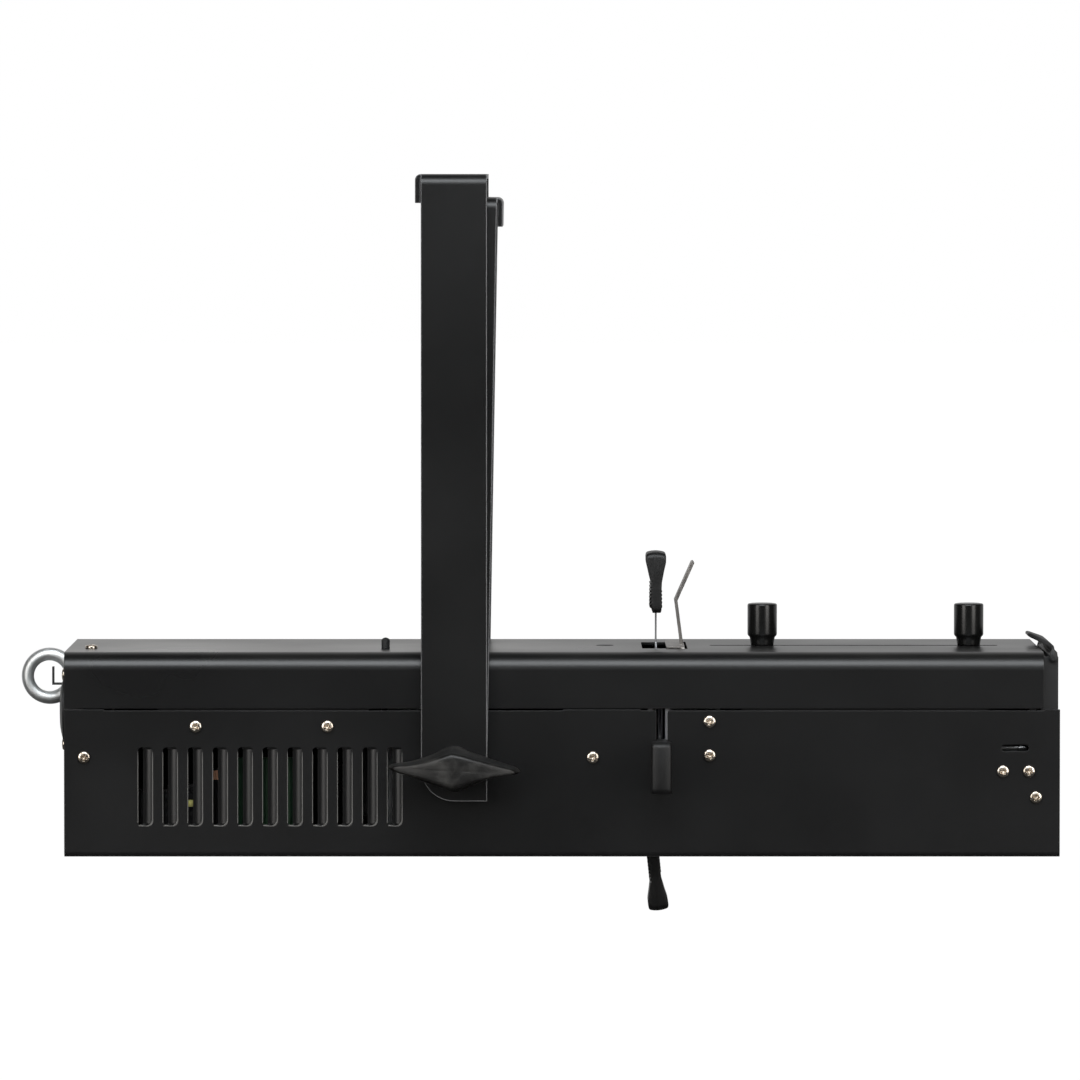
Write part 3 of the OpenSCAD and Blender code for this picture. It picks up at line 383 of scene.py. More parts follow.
def mould_grain_group():
    """Spark-eroded mould grain with small flat cells."""
    group, given, out = shader_group(
        "mould_grain", (("Cell size", 2600.0),),
        (("Height", "NodeSocketFloat"), ("Wear", "NodeSocketFloat")))
    place = add(group, "ShaderNodeTexCoord")
    cells = add(group, "ShaderNodeTexVoronoi", feature="SMOOTH_F1")
    lightening = object_noise(group, 5.0)
    lightening.inputs["Scale"].default_value = 90.0
    group.links.new(place.outputs["Object"], cells.inputs["Vector"])
    group.links.new(given.outputs["Cell size"], cells.inputs["Scale"])
    group.links.new(cells.outputs["Distance"], out.inputs["Height"])
    group.links.new(lightening.outputs["Fac"], out.inputs["Wear"])
    return group


COAT_GRAIN = coat_grain_group()
SOFT_EDGE = soft_edge_group()
SETTLED_DUST = settled_dust_group()
LINES_X = drawn_lines_group("drawn_lines_x", (0.03, 1, 1))
LINES_Z = drawn_lines_group("drawn_lines_z", (1, 1, 0.03))
MOULD_GRAIN = mould_grain_group()
SPOT = spot_group()


# Finishes, one function for each


def new_finish(name):
    material = bpy.data.materials.new(name)
    material.use_nodes = True
    tree = material.node_tree
    return material, tree, tree.nodes["Principled BSDF"]


DUST = (0.20, 0.19, 0.175)
# The box inside the walls where the housing's coat is darkened as painted shade
PAINTED_SHADE_MIDDLE_Z = 6.2
PAINTED_SHADE_REACH_Z = 42.5
PAST_ENDS = 10.0


def powder_coat(name, colour, rough, depth, dust, radius=0.6 * MM, lightening=1.9, gain=6.0, inside=None):
    """Satin black powder coat, lighter under dust, lighter on its edges as rubbed wear and, at
    large factors, as a painted highlight, and darkened inside the walls as painted shade, with
    duller roughness there.
    """
    material, tree, shader = new_finish(name)
    grain = place_group(tree, COAT_GRAIN)
    edge = place_group(tree, SOFT_EDGE, Radius=radius, Gain=gain)
    dusty = place_group(tree, SETTLED_DUST, Amount=dust)
    drift = spread_value(tree, grain.outputs["Drift"], 0.0, 1.0)
    lighter = tuple(1.25 * c for c in colour)
    paint = blend_colours(tree, drift, colour, lighter)
    # Edges lighter by the given factor: rubbed wear, and at large factors a painted highlight
    wear_and_painted_light = blend_colours(tree, edge.outputs["Edge"], paint, tuple(lightening * c for c in colour))
    sheen = spread_value(tree, grain.outputs["Drift"], rough - 0.04, rough + 0.05)
    # Painted shade: inside the walls the coat is darkened to 0.15 of its colour, and made rougher
    if inside:
        painted_shade_mask = place_group(tree, SPOT, Middle_Z=at(0, 0, PAINTED_SHADE_MIDDLE_Z).z, Reach_X=PAST_ENDS,
                             Reach_Y=inside, Reach_Z=PAINTED_SHADE_REACH_Z * MM)
        wear_and_painted_light = blend_colours(tree, painted_shade_mask.outputs["Mask"], wear_and_painted_light, tuple(0.15 * c for c in colour))
        dull = add(tree, "ShaderNodeMath", operation="MULTIPLY_ADD", use_clamp=True)
        dull.inputs[1].default_value = 0.6
        tree.links.new(painted_shade_mask.outputs["Mask"], dull.inputs[0])
        tree.links.new(sheen, dull.inputs[2])
        sheen = dull.outputs[0]
    tree.links.new(blend_colours(tree, dusty.outputs["Mask"], wear_and_painted_light, DUST),
                   shader.inputs["Base Color"])
    tree.links.new(sheen, shader.inputs["Roughness"])
    bump(tree, shader, grain.outputs["Height"], edge.outputs["Normal"], depth)
    return material


def plated_metal(name, bright, dull, rough, lines, depth=0.01 * MM, radius=0.3 * MM):
    """Bare or plated metal with fine lines and clouded patches."""
    material, tree, shader = new_finish(name)
    shader.inputs["Metallic"].default_value = 1.0
    drawn = place_group(tree, lines)
    edge = place_group(tree, SOFT_EDGE, Radius=radius)
    cloud = spread_value(tree, drawn.outputs["Cloud"], 0.0, 1.0)
    tree.links.new(blend_colours(tree, cloud, bright, dull), shader.inputs["Base Color"])
    tree.links.new(spread_value(tree, drawn.outputs["Lines"], rough - 0.06, rough + 0.1),
                   shader.inputs["Roughness"])
    bump(tree, shader, drawn.outputs["Lines"], edge.outputs["Normal"], depth)
    return material


def moulded_plastic(name, colour, rough, depth, cells=2600.0, radius=0.4 * MM, cloud=1.3,
                    clear=(0.3, 0.7), wear_and_painted_light=2.0):
    """Grained moulded plastic in uneven patches, lighter on its edges: rubbed wear, and at large
    factors partly a painted highlight.
    """
    material, tree, shader = new_finish(name)
    grain = place_group(tree, MOULD_GRAIN, Cell_size=cells)
    edge = place_group(tree, SOFT_EDGE, Radius=radius)
    lightening = spread_value(tree, grain.outputs["Wear"], 0.0, 1.0, *clear)
    body = blend_colours(tree, lightening, colour, tuple(cloud * c for c in colour))
    tree.links.new(blend_colours(tree, edge.outputs["Edge"], body, tuple(wear_and_painted_light * c for c in colour)),
                   shader.inputs["Base Color"])
    tree.links.new(spread_value(tree, grain.outputs["Wear"], rough - 0.05, rough + 0.07),
                   shader.inputs["Roughness"])
    bump(tree, shader, grain.outputs["Height"], edge.outputs["Normal"], depth)
    return material


def polished_plastic(name, colour, rough):
    """Glossy plastic with faint handling marks."""
    material, tree, shader = new_finish(name)
    grain = place_group(tree, COAT_GRAIN, Grain_size=900.0, Peel_size=140.0, Peel_share=0.6)
    edge = place_group(tree, SOFT_EDGE, Radius=0.3 * MM)
    drift = spread_value(tree, grain.outputs["Height"], 0.0, 1.0)
    tree.links.new(blend_colours(tree, drift, colour, tuple(1.3 * c for c in colour)),
                   shader.inputs["Base Color"])
    tree.links.new(spread_value(tree, grain.outputs["Height"], rough - 0.03, rough + 0.05),
                   shader.inputs["Roughness"])
    bump(tree, shader, grain.outputs["Height"], edge.outputs["Normal"], 0.0006 * MM)
    return material


def circuit_board(name, mask_colour, copper_colour):
    """Solder mask with the faint raised run of tracks under it."""
    material, tree, shader = new_finish(name)
    place = add(tree, "ShaderNodeTexCoord")
    tracks = add(tree, "ShaderNodeTexBrick", Scale=90.0)
    tracks.inputs["Mortar Size"].default_value = 0.05
    tracks.inputs["Color1"].default_value = (1, 1, 1, 1)
    tracks.inputs["Color2"].default_value = (0.8, 0.8, 0.8, 1)
    tracks.inputs["Mortar"].default_value = (0, 0, 0, 1)
    tree.links.new(place.outputs["Object"], tracks.inputs["Vector"])
    tree.links.new(blend_colours(tree, tracks.outputs["Fac"], mask_colour, copper_colour),
                   shader.inputs["Base Color"])
    tree.links.new(spread_value(tree, tracks.outputs["Fac"], 0.32, 0.5, 0, 1),
                   shader.inputs["Roughness"])
    bump(tree, shader, tracks.outputs["Fac"], None, 0.03 * MM)
    return material


def painted_shade_but_spot(tree, colour, centre, reach):
    """Painted shade: near black over the whole part but one patch in its own colour, whose centre
    is in metres and reach in millimetres.
    """
    patch = place_group(tree, SPOT)
    for axis, place, extent in zip("XYZ", centre, reach):
        patch.inputs["Middle " + axis].default_value = place
        patch.inputs["Reach " + axis].default_value = extent * MM
    # The near black painted shade over the rest of the part
    body = (0.006, 0.006, 0.007)
    return blend_colours(tree, patch.outputs["Mask"], body, colour)


def tape_in_painted_shade(name, colour, centre, reach):
    """Insulating tape in laps, painted near black as shade except one patch in its own yellow."""
    material, tree, shader = new_finish(name)
    place = add(tree, "ShaderNodeTexCoord")
    laps = add(tree, "ShaderNodeTexWave", bands_direction="Z", Scale=70.0, Distortion=0.4)
    tree.links.new(place.outputs["Object"], laps.inputs["Vector"])
    dark = tuple(0.72 * c for c in colour)
    tape = blend_colours(tree, laps.outputs["Fac"], colour, dark)
    tree.links.new(painted_shade_but_spot(tree, tape, centre, reach), shader.inputs["Base Color"])
    tree.links.new(spread_value(tree, laps.outputs["Fac"], 0.3, 0.5, 0, 1),
                   shader.inputs["Roughness"])
    bump(tree, shader, laps.outputs["Fac"], None, 0.1 * MM)
    return material


def sleeve_in_painted_shade(name, colour, centre, reach):
    """Shrink sleeve, painted near black as shade except one patch in its own orange, with its faint
    unevenness.
    """
    material, tree, shader = new_finish(name)
    grain = place_group(tree, COAT_GRAIN, Grain_size=900.0, Peel_size=140.0, Peel_share=0.6)
    drift = spread_value(tree, grain.outputs["Height"], 0.0, 1.0)
    sleeve_tone = blend_colours(tree, drift, colour, tuple(0.8 * c for c in colour))
    tree.links.new(painted_shade_but_spot(tree, sleeve_tone, centre, reach), shader.inputs["Base Color"])
    tree.links.new(spread_value(tree, grain.outputs["Height"], 0.32, 0.42),
                   shader.inputs["Roughness"])
    bump(tree, shader, grain.outputs["Height"], None, 0.01 * MM)
    return material


def lamp_phosphor(name):
    """The lamp's yellow emitting disc, speckled with its many small chips."""
    material, tree, shader = new_finish(name)
    place = add(tree, "ShaderNodeTexCoord")
    chips = add(tree, "ShaderNodeTexVoronoi", Scale=700.0)
    tree.links.new(place.outputs["Object"], chips.inputs["Vector"])
    tree.links.new(blend_colours(tree, chips.outputs["Distance"], (0.86, 0.68, 0.16),
                                 (0.7, 0.62, 0.3)), shader.inputs["Base Color"])
    tree.links.new(spread_value(tree, chips.outputs["Distance"], 0.35, 0.6, 0, 1),
                   shader.inputs["Roughness"])
    bump(tree, shader, chips.outputs["Distance"], None, 0.05 * MM)
    return material


def coated_lens(name):
    """Clear glass with a faint unevenness in its polish."""
    material, tree, shader = new_finish(name)
    shader.inputs["Transmission Weight"].default_value = 1.0
    shader.inputs["IOR"].default_value = 1.52
    polish = object_noise(tree, 2.0)
    polish.inputs["Scale"].default_value = 40.0
    tree.links.new(blend_colours(tree, polish.outputs["Fac"], (0.93, 0.96, 0.98),
                                 (0.96, 0.98, 0.99)), shader.inputs["Base Color"])
    tree.links.new(spread_value(tree, polish.outputs["Fac"], 0.01, 0.04),
                   shader.inputs["Roughness"])
    return material


# The housing's coat carries painted shade inside its walls, within 66.3 mm of the middle
HOUSING_PAINT = powder_coat("housing_paint", (0.0046, 0.0046, 0.0048), 0.31, 0.016 * MM, 0.05,
                            inside=66.3 * MM)
# Painted highlight: the brackets' edges are painted fifty-five times lighter than the coat, for the
# light caught along the sheet's rounded edges
BRACKET_PAINT = powder_coat("bracket_paint", (0.0044, 0.0044, 0.0045), 0.31, 0.016 * MM, 0.04,
                            0.9 * MM, lightening=55.0, gain=10.0)
# Painted highlight: the louvres' rolled rims are painted about eighteen times lighter than the
# housing, for the light they catch
RIM_HIGHLIGHT_PAINT = powder_coat("rim_highlight_paint", (0.082, 0.080, 0.076), 0.34, 0.01 * MM, 0.0, 0.1 * MM)
PANEL_PAINT = powder_coat("panel_paint", (0.0140, 0.0140, 0.0145), 0.52, 0.014 * MM, 0.04, 0.3 * MM)
SCREW_STEEL = plated_metal("screw_steel", (0.86, 0.78, 0.68), (0.50, 0.43, 0.35), 0.19, LINES_X)
ZINC_STEEL = plated_metal("zinc_steel", (0.90, 0.91, 0.91), (0.68, 0.70, 0.70), 0.46, LINES_Z)
ROD_STEEL = plated_metal("rod_steel", (0.80, 0.81, 0.82), (0.70, 0.71, 0.72), 0.16, LINES_X)
BLADE_STEEL = plated_metal("blade_steel", (0.52, 0.52, 0.53), (0.40, 0.40, 0.41), 0.34, LINES_Z)
PLATE_STEEL = plated_metal("plate_steel", (0.40, 0.40, 0.41), (0.30, 0.30, 0.31), 0.42, LINES_Z)
GOBO_METAL = plated_metal("gobo_metal", (0.34, 0.32, 0.30), (0.24, 0.23, 0.22), 0.38, LINES_Z)
ALUMINIUM = plated_metal("aluminium", (0.62, 0.63, 0.64), (0.50, 0.51, 0.52), 0.38, LINES_Z)
LENS_CELL = plated_metal("lens_cell", (0.055, 0.055, 0.057), (0.040, 0.040, 0.042), 0.45, LINES_X)
KNOB_GLOSS = polished_plastic("knob_gloss", (0.0045, 0.0045, 0.0044), 0.22)
DISPLAY_GLASS = polished_plastic("display_glass", (0.010, 0.012, 0.016), 0.10)
# Painted shade: the capacitor sleeve is near black except one small patch
SLEEVE_ORANGE = sleeve_in_painted_shade("sleeve_orange", (0.48, 0.25, 0.16), at(-120, 0, -4.7),
                               (6.5, 500, 2.4))
WING_PLASTIC = moulded_plastic("wing_plastic", (0.0048, 0.0046, 0.0042), 0.42, 0.03 * MM, 1700.0,
                               cloud=6.0, clear=(0.42, 0.64))
# The grips' edges are nine times lighter: partly rubbed wear, partly a painted highlight
GRIP_PLASTIC = moulded_plastic("grip_plastic", (0.0026, 0.0026, 0.0027), 0.46, 0.03 * MM, wear_and_painted_light=9.0)
SOCKET_PLASTIC = moulded_plastic("socket_plastic", (0.012, 0.012, 0.0125), 0.48, 0.02 * MM)
BUTTON_RUBBER = moulded_plastic("button_rubber", (0.014, 0.014, 0.0145), 0.62, 0.02 * MM)
FAN_PLASTIC = moulded_plastic("fan_plastic", (0.018, 0.018, 0.0185), 0.50, 0.02 * MM)
BOARD_GREEN = circuit_board("board_green", (0.010, 0.040, 0.019), (0.026, 0.076, 0.036))
# Painted shade: the transformer's tape is near black except one small patch
TAPE_YELLOW = tape_in_painted_shade("tape_yellow", (0.95, 0.90, 0.30), at(-132, 0, -19.1), (12, 500, 1.7))
PHOSPHOR = lamp_phosphor("phosphor")
LENS_GLASS = coated_lens("lens_glass")

FINISH_OF = {name: finish for finish, names in (
    (BRACKET_PAINT, "outer_bracket inner_bracket"),
    (HOUSING_PAINT, "lower_shell top_cover"),
    (PANEL_PAINT, "rear_panel front_plate frame_holder frame_clip clip_rivets"),
    (SCREW_STEEL, "side_screws panel_screws"),
    (ZINC_STEEL, "eye_bolt eye_nut pivot_studs"),
    (PLATE_STEEL, "pivot_bosses gate_rear gate_front"),
    (ROD_STEEL, "gate_posts guide_rods zoom_post focus_post gobo_disc"),
    (BLADE_STEEL, "gate_separators shutter_blade_top shutter_blade_bottom shutter_blade_near"
                  " shutter_blade_far"),
    (GOBO_METAL, "gobo_holder"),
    (ALUMINIUM, "heat_sink"),
    (LENS_CELL, "reflector zoom_carriage focus_carriage"),
    (LENS_GLASS, "condenser_lens zoom_lens focus_lens"),
    (PHOSPHOR, "led_module"),
    (KNOB_GLOSS, "zoom_knob focus_knob"),
    (WING_PLASTIC, "knob_near knob_far"),
    (GRIP_PLASTIC, "shutter_grip_top shutter_grip_bottom shutter_grip_near shutter_grip_far"),
    (SOCKET_PLASTIC, "power_inlet control_sockets pivot_washers"),
    (BUTTON_RUBBER, "menu_button_1 menu_button_2 menu_button_3 menu_button_4 hole_plug"
                    " rubber_stop"),
    (FAN_PLASTIC, "fan_frame fan_rotor"),
    (DISPLAY_GLASS, "display_window"),
    (BOARD_GREEN, "driver_board control_board"),
    (TAPE_YELLOW, "board_transformer"),
    (SLEEVE_ORANGE, "board_capacitors"),
) for name in names.split()}


def dress_nodes():
    for name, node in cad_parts.items():
        node.data.materials.clear()
        node.data.materials.append(FINISH_OF[name])


# Mesh helpers


def finished(name, mesh, material, body, *nodes, slot=None):
    """Links a finished mesh, rides it on its body and lets it stand for the nodes it replaces."""
    piece = bpy.data.objects.new(name, mesh)
    bpy.context.collection.objects.link(piece)
    mesh.materials.clear()
    mesh.materials.append(material)
    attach(piece, body)
    if nodes:
        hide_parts(*nodes)
    return piece


def result_of(piece):
    """The plain mesh that a piece's modifiers make."""
    seen = piece.evaluated_get(bpy.context.evaluated_depsgraph_get())
    return bpy.data.meshes.new_from_object(seen)


def mesh_from(name, shape, smooth=40):
    """Ends a bmesh: doubles merged, normals outwards, smooth up to an angle in degrees."""
    bmesh.ops.remove_doubles(shape, verts=shape.verts, dist=1e-6)
    bmesh.ops.recalc_face_normals(shape, faces=shape.faces)
    limit = math.radians(smooth)
    for face in shape.faces:
        face.smooth = True
    for edge in shape.edges:
        edge.smooth = len(edge.link_faces) == 2 and edge.calc_face_angle(0) < limit
    mesh = bpy.data.meshes.new(name)
    shape.to_mesh(mesh)
    shape.free()
    return mesh


def skin(shape, rings, closed=True):
    """Joins each ring of corners to the next, and closes the first and the last."""
    for low, high in zip(rings, rings[1:]):
        for i in range(len(low)):
            j = (i + 1) % len(low)
            corners = list(dict.fromkeys((low[i], low[j], high[j], high[i])))
            if len(corners) > 2:
                shape.faces.new(corners)
    if closed:
        shape.faces.new(rings[0][::-1])
        shape.faces.new(rings[-1])


def turned(shape, profile, steps, place):
    """Revolves a profile of (radius, height) about Z and puts the result at a place."""
    rings = []
    for radius, height in profile:
        if radius < 1e-7:
            rings.append([shape.verts.new(place @ Vector((0, 0, height)))] * steps)
            continue
        rings.append([shape.verts.new(place @ Vector((radius * math.cos(TURN * i / steps),
                                                      radius * math.sin(TURN * i / steps), height)))
                      for i in range(steps)])
    skin(shape, rings, closed=False)


def arc(centre, radius, start, end, steps):
    """Points of an arc in a profile, angles in degrees."""
    return [(centre[0] + radius * math.cos(math.radians(start + (end - start) * i / steps)),
             centre[1] + radius * math.sin(math.radians(start + (end - start) * i / steps)))
            for i in range(steps + 1)]


def scaled(profile):
    return [(radius * MM, height * MM) for radius, height in profile]


# Screws: one finely made head, set at each place by a node tree


HEAD_R = 3.1
HEAD_H = 1.9
SHANK_R = 1.45


def recess_cutter():
    """Four tapering wings of a cross recess, with flared mouths."""
    cutter = bmesh.new()
    wing = 1.35
    for turn in (0, 90):
        spin = Matrix.Rotation(math.radians(turn), 4, "Z")
        rings = [[cutter.verts.new(spin @ Vector((x * length, y * width / 2, HEAD_H + height)) * MM)
                  for x, y in ((-1, -1), (1, -1), (1, 1), (-1, 1))]
                 for length, width, height in ((1.95, wing, 0.3), (1.35, wing * 0.8, -1.0),
                                               (0.4, 0.25, -1.6))]
        skin(cutter, rings)
    return mesh_from("recess", cutter)


def screw_mesh(length):
    """A pan head on a threaded shank, pointing along -Z from its seat."""
    thread = []
    pitch = 0.7
    for i in range(int(length / pitch)):
        foot = -length + i * pitch
        thread += [(SHANK_R * 0.8, foot), (SHANK_R, foot + pitch / 2)]
    dome = 3.3 * HEAD_R
    bend = 0.75
    top = [(r, HEAD_H - dome + math.sqrt(dome * dome - r * r)) for r in (2.0, 1.4, 0.8)]
    shoulder = arc((HEAD_R - bend, HEAD_H - bend - 0.3), bend, 0, 68, 5)
    profile = [(0, -length)] + thread + [(SHANK_R, 0), (HEAD_R - 0.12, 0), (HEAD_R, 0.12)]
    profile += shoulder + top + [(0, HEAD_H)]
    shape = bmesh.new()
    turned(shape, scaled(profile), 32, Matrix.Identity(4))
    head = bpy.data.objects.new("head", mesh_from("head", shape, 35))
    cutter = bpy.data.objects.new("cutter", recess_cutter())
    for piece in (head, cutter):
        bpy.context.collection.objects.link(piece)
    cut = head.modifiers.new("recess", "BOOLEAN")
    cut.operation = "DIFFERENCE"
    cut.solver = "EXACT"
    cut.use_self = True
    cut.object = cutter
    made = result_of(head)
    for piece in (head, cutter):
        bpy.data.objects.remove(piece)
    return made


def points_mesh(name, places):
    """One vertex for each screw, with the way that its head faces as an attribute."""
    mesh = bpy.data.meshes.new(name)
    mesh.from_pydata([place for place, facing in places], [], [])
    facing = mesh.attributes.new("facing", "FLOAT_VECTOR", "POINT")
    for item, (place, way) in zip(facing.data, places):
        item.vector = way
    return mesh


def screw_field_tree():
    """Sets a screw on each point, turns it to its face, spins it by chance and joins them all."""
    tree = bpy.data.node_groups.new("screw_field", "GeometryNodeTree")
    socket = tree.interface.new_socket
    socket("Geometry", in_out="INPUT", socket_type="NodeSocketGeometry")
    socket("Screw", in_out="INPUT", socket_type="NodeSocketObject")
    socket("Size", in_out="INPUT", socket_type="NodeSocketFloat").default_value = 1.0
    socket("Seed", in_out="INPUT", socket_type="NodeSocketInt").default_value = 3
    socket("Finish", in_out="INPUT", socket_type="NodeSocketMaterial")
    socket("Geometry", in_out="OUTPUT", socket_type="NodeSocketGeometry")
    given = add(tree, "NodeGroupInput")
    out = add(tree, "NodeGroupOutput")
    points = add(tree, "GeometryNodeMeshToPoints")
    facing = add(tree, "GeometryNodeInputNamedAttribute", data_type="FLOAT_VECTOR")
    facing.inputs["Name"].default_value = "facing"
    turn = add(tree, "FunctionNodeAlignRotationToVector", axis="Z")
    chance = add(tree, "FunctionNodeRandomValue")
    about = add(tree, "FunctionNodeAxisAngleToRotation")
    about.inputs["Axis"].default_value = (0, 0, 1)
    spin = add(tree, "FunctionNodeRotateRotation", rotation_space="LOCAL")
    shape = add(tree, "GeometryNodeObjectInfo")
    set_on = add(tree, "GeometryNodeInstanceOnPoints")
    real = add(tree, "GeometryNodeRealizeInstances")
    paint = add(tree, "GeometryNodeSetMaterial")
    floats = [s for s in chance.inputs if s.type == "VALUE"]
    floats[0].default_value = 0.0
    floats[1].default_value = math.pi / 2
    link = tree.links.new
    link(given.outputs["Geometry"], points.inputs["Mesh"])
    link(points.outputs["Points"], set_on.inputs["Points"])
    link(given.outputs["Screw"], shape.inputs["Object"])
    link(shape.outputs["Geometry"], set_on.inputs["Instance"])
    link([s for s in facing.outputs if s.enabled][0], turn.inputs["Vector"])
    link(given.outputs["Seed"], chance.inputs["Seed"])
    link([s for s in chance.outputs if s.type == "VALUE" and s.enabled][0], about.inputs["Angle"])
    link(turn.outputs["Rotation"], spin.inputs["Rotation"])
    link(about.outputs["Rotation"], spin.inputs["Rotate By"])
    link(spin.outputs["Rotation"], set_on.inputs["Rotation"])
    link(given.outputs["Size"], set_on.inputs["Scale"])
    link(set_on.outputs["Instances"], real.inputs["Geometry"])
    link(real.outputs["Geometry"], paint.inputs["Geometry"])
    link(given.outputs["Finish"], paint.inputs["Material"])
    link(paint.outputs["Geometry"], out.inputs["Geometry"])
    return tree


def grown(name, start, tree, values):
    """Runs a node tree on a starting mesh and returns the plain mesh that it makes."""
    base = bpy.data.objects.new(name, start)
    bpy.context.collection.objects.link(base)
    modifier = base.modifiers.new(name, "NODES")
    modifier.node_group = tree
    sockets = {item.name: item.identifier for item in tree.interface.items_tree
               if item.in_out == "INPUT"}
    for label, value in values.items():
        modifier[sockets[label]] = value
    bpy.context.view_layer.update()
    made = result_of(base)
    base.modifiers.clear()
    bpy.data.objects.remove(base)
    made.name = name
    return made


REAR_REACH = 195.5
BODY_L = 499
HALF_W = 68
SIDE_SCREWS = ((-REAR_REACH + 10, 5), (-REAR_REACH + 66, 20.5), (-REAR_REACH + 132, 20.5),
               (-REAR_REACH + 265, 5), (128, 23), (128, 6), (BODY_L - REAR_REACH - 28.5, -2),
               (BODY_L - REAR_REACH - 15.5, -2), (BODY_L - REAR_REACH - 12, -15))
COVER_SCREW = (-REAR_REACH + 11.8, -28)
INLET_Y = -34
INLET_Z = 27
INLET_SCREW = 17.4
INLET_STAND = 8
SHORT_SCREW = 5.6
LONG_SCREW = 10.5


def set_screws():
    """Short screws in the shells, and two long ones through the ears of the power inlet."""
    tree = screw_field_tree()
    flanks = [(at(x, side * HALF_W, z), (0, side, 0)) for side in (-1, 1) for x, z in SIDE_SCREWS]
    cover = [(Vector((*at(*COVER_SCREW, 0).xy, COVER_TOP)), (0, 0, 1))]
    ear = PANEL - INLET_STAND * MM
    inlet = [(Vector((ear, INLET_Y * MM, at(0, 0, INLET_Z + side * INLET_SCREW).z)), (-1, 0, 0))
             for side in (-1, 1)]
    for node, groups, seed in (("side_screws", ((flanks, SHORT_SCREW),), 3),
                               ("panel_screws", ((cover, SHORT_SCREW), (inlet, LONG_SCREW)), 8)):
        shape = bmesh.new()
        for places, length in groups:
            screw = bpy.data.objects.new("screw", screw_mesh(length))
            bpy.context.collection.objects.link(screw)
            values = {"Screw": screw, "Size": 1.0, "Seed": seed, "Finish": SCREW_STEEL}
            shape.from_mesh(grown(node, points_mesh(node, places), tree, values))
            bpy.data.objects.remove(screw)
        finished("fitted_" + node, mesh_from(node, shape, 35), SCREW_STEEL, "housing", node)


# Rolled edges of the louvres and the webs that close their ends


VENTS = [-REAR_REACH + 37 + 12.5 * i for i in range(11)]
VENT_W = 7.4
VENT_LOW = -29.5
VENT_H = 39.5


def tube(shape, path, radii, sides=8):
    """A round bar along a path in the plane of the flank, closed at both ends."""
    rings = []
    for i, spot in enumerate(path):
        ahead = (path[min(i + 1, len(path) - 1)] - path[max(i - 1, 0)]).normalized()
        across = ahead.cross(Vector((0, 1, 0)))
        turns = [TURN * j / sides for j in range(sides)]
        rings.append([shape.verts.new(spot + radii[i] * (across * math.cos(a)
                                                         + Vector((0, math.sin(a), 0))))
                      for a in turns])
    skin(shape, rings)


def louvre_edges():
    """The fold beside each slot, down its right edge and round the corner, and a thin left edge, in
    a lighter paint that is a painted highlight.
    """
    shape = bmesh.new()
    low = at(0, 0, VENT_LOW).z
    bend = 3
    turn = arc((VENT_W - bend, bend), bend, 0, -90, 6)
    # Across the slot, up it, and the fold's radius there
    fold = [(VENT_W, VENT_H - 2.5, 0.12), (VENT_W, VENT_H - 6, 0.26), (VENT_W, 12, 0.29),
            (VENT_W, 4.5, 0.32)]
    fold += [(x, z, size) for (x, z), size in zip(turn, (0.36, 0.42, 0.48, 0.50, 0.46, 0.38, 0.26))]
    fold += [(3.4, 0, 0.2), (2.6, 0.1, 0.38), (1.2, 0.3, 0.46), (0.3, 0.1, 0.2)]
    plain = [(0, 1.6, 0.24), (0, 12, 0.22), (0, VENT_H - 8, 0.22), (0, VENT_H - 2.5, 0.16)]
    for side in (-1, 1):
        y = PIVOT.y + side * (HALF_W - 0.05) * MM
        for start in VENTS:
            left = at(start, 0, 0).x
            for edge in (fold, plain):
                tube(shape, [Vector((left + x * MM, y, low + z * MM)) for x, z, size in edge],
                     [size * MM for x, z, size in edge])
    finished("louvre_edges", mesh_from("louvre_edges", shape, 60), RIM_HIGHLIGHT_PAINT, "housing",
             slot="housing_paint")


def louvre_ends():
    """Webs above and below every fin, which shut the gap between it and the end of its slot."""
    shape = bmesh.new()
    outline = [(7.6, 66.4), (2.3, 66.4), (2.2, 65.2), (3.2, 63.6), (7.6, 61.4)]
    for side in (-1, 1):
        for start in VENTS:
            for z in (VENT_LOW - 0.4, VENT_LOW + VENT_H - 1.05):
                skin(shape, [[shape.verts.new(at(start + x, side * y, z + h)) for x, y in outline]
                             for h in (0.0, 0.35, 1.45)])
    finished("louvre_ends", mesh_from("louvre_ends", shape, 30), HOUSING_PAINT, "housing")


# Turned knobs over the lens slot


def lens_knob(node):
    """A waisted knob with a polished barrel, a soft shoulder and a barely domed top."""
    radius = 7.5
    neck = 5.75
    height = 21.6
    waist = 5.0
    dome = 0.25
    bore_r = 2.05
    profile = [(bore_r, 0.0), (neck - 0.25, 0.0), (neck, 0.25)]
    profile += [(neck + 0.1 + 0.55 * t, 0.8 + (waist - 1.6) * t) for t in (0.0, 0.5, 1.0)]
    profile += [(radius - 0.35, waist), (radius - 0.08, waist + 0.6)]
    profile += [(radius, waist + 1.2), (radius, height - 1.2)]
    profile += arc((radius - 0.9, height - 1.0), 0.9, 0, 80, 6)
    profile += [(radius * share, height + dome * (1 - share * share))
                for share in (0.7, 0.5, 0.3, 0.12)]
    profile += [(0, height + dome)]
    bore = [(0, height - 5), (bore_r, height - 5), (bore_r, 0.0)]
    shape = bmesh.new()
    centre = middle(node)
    foot = corner(node, 0).z
    fit = (corner(node, 1).z - foot) / ((height + dome) * MM)
    place = Matrix.Translation((centre.x, centre.y, foot)) @ Matrix.Diagonal((1, 1, fit, 1))
    turned(shape, scaled(bore + profile[1:]), 96, place)
    finished("turned_" + node, mesh_from(node, shape, 50), KNOB_GLOSS, node, node)


# Wing knobs: a round base that grows into two swept wings


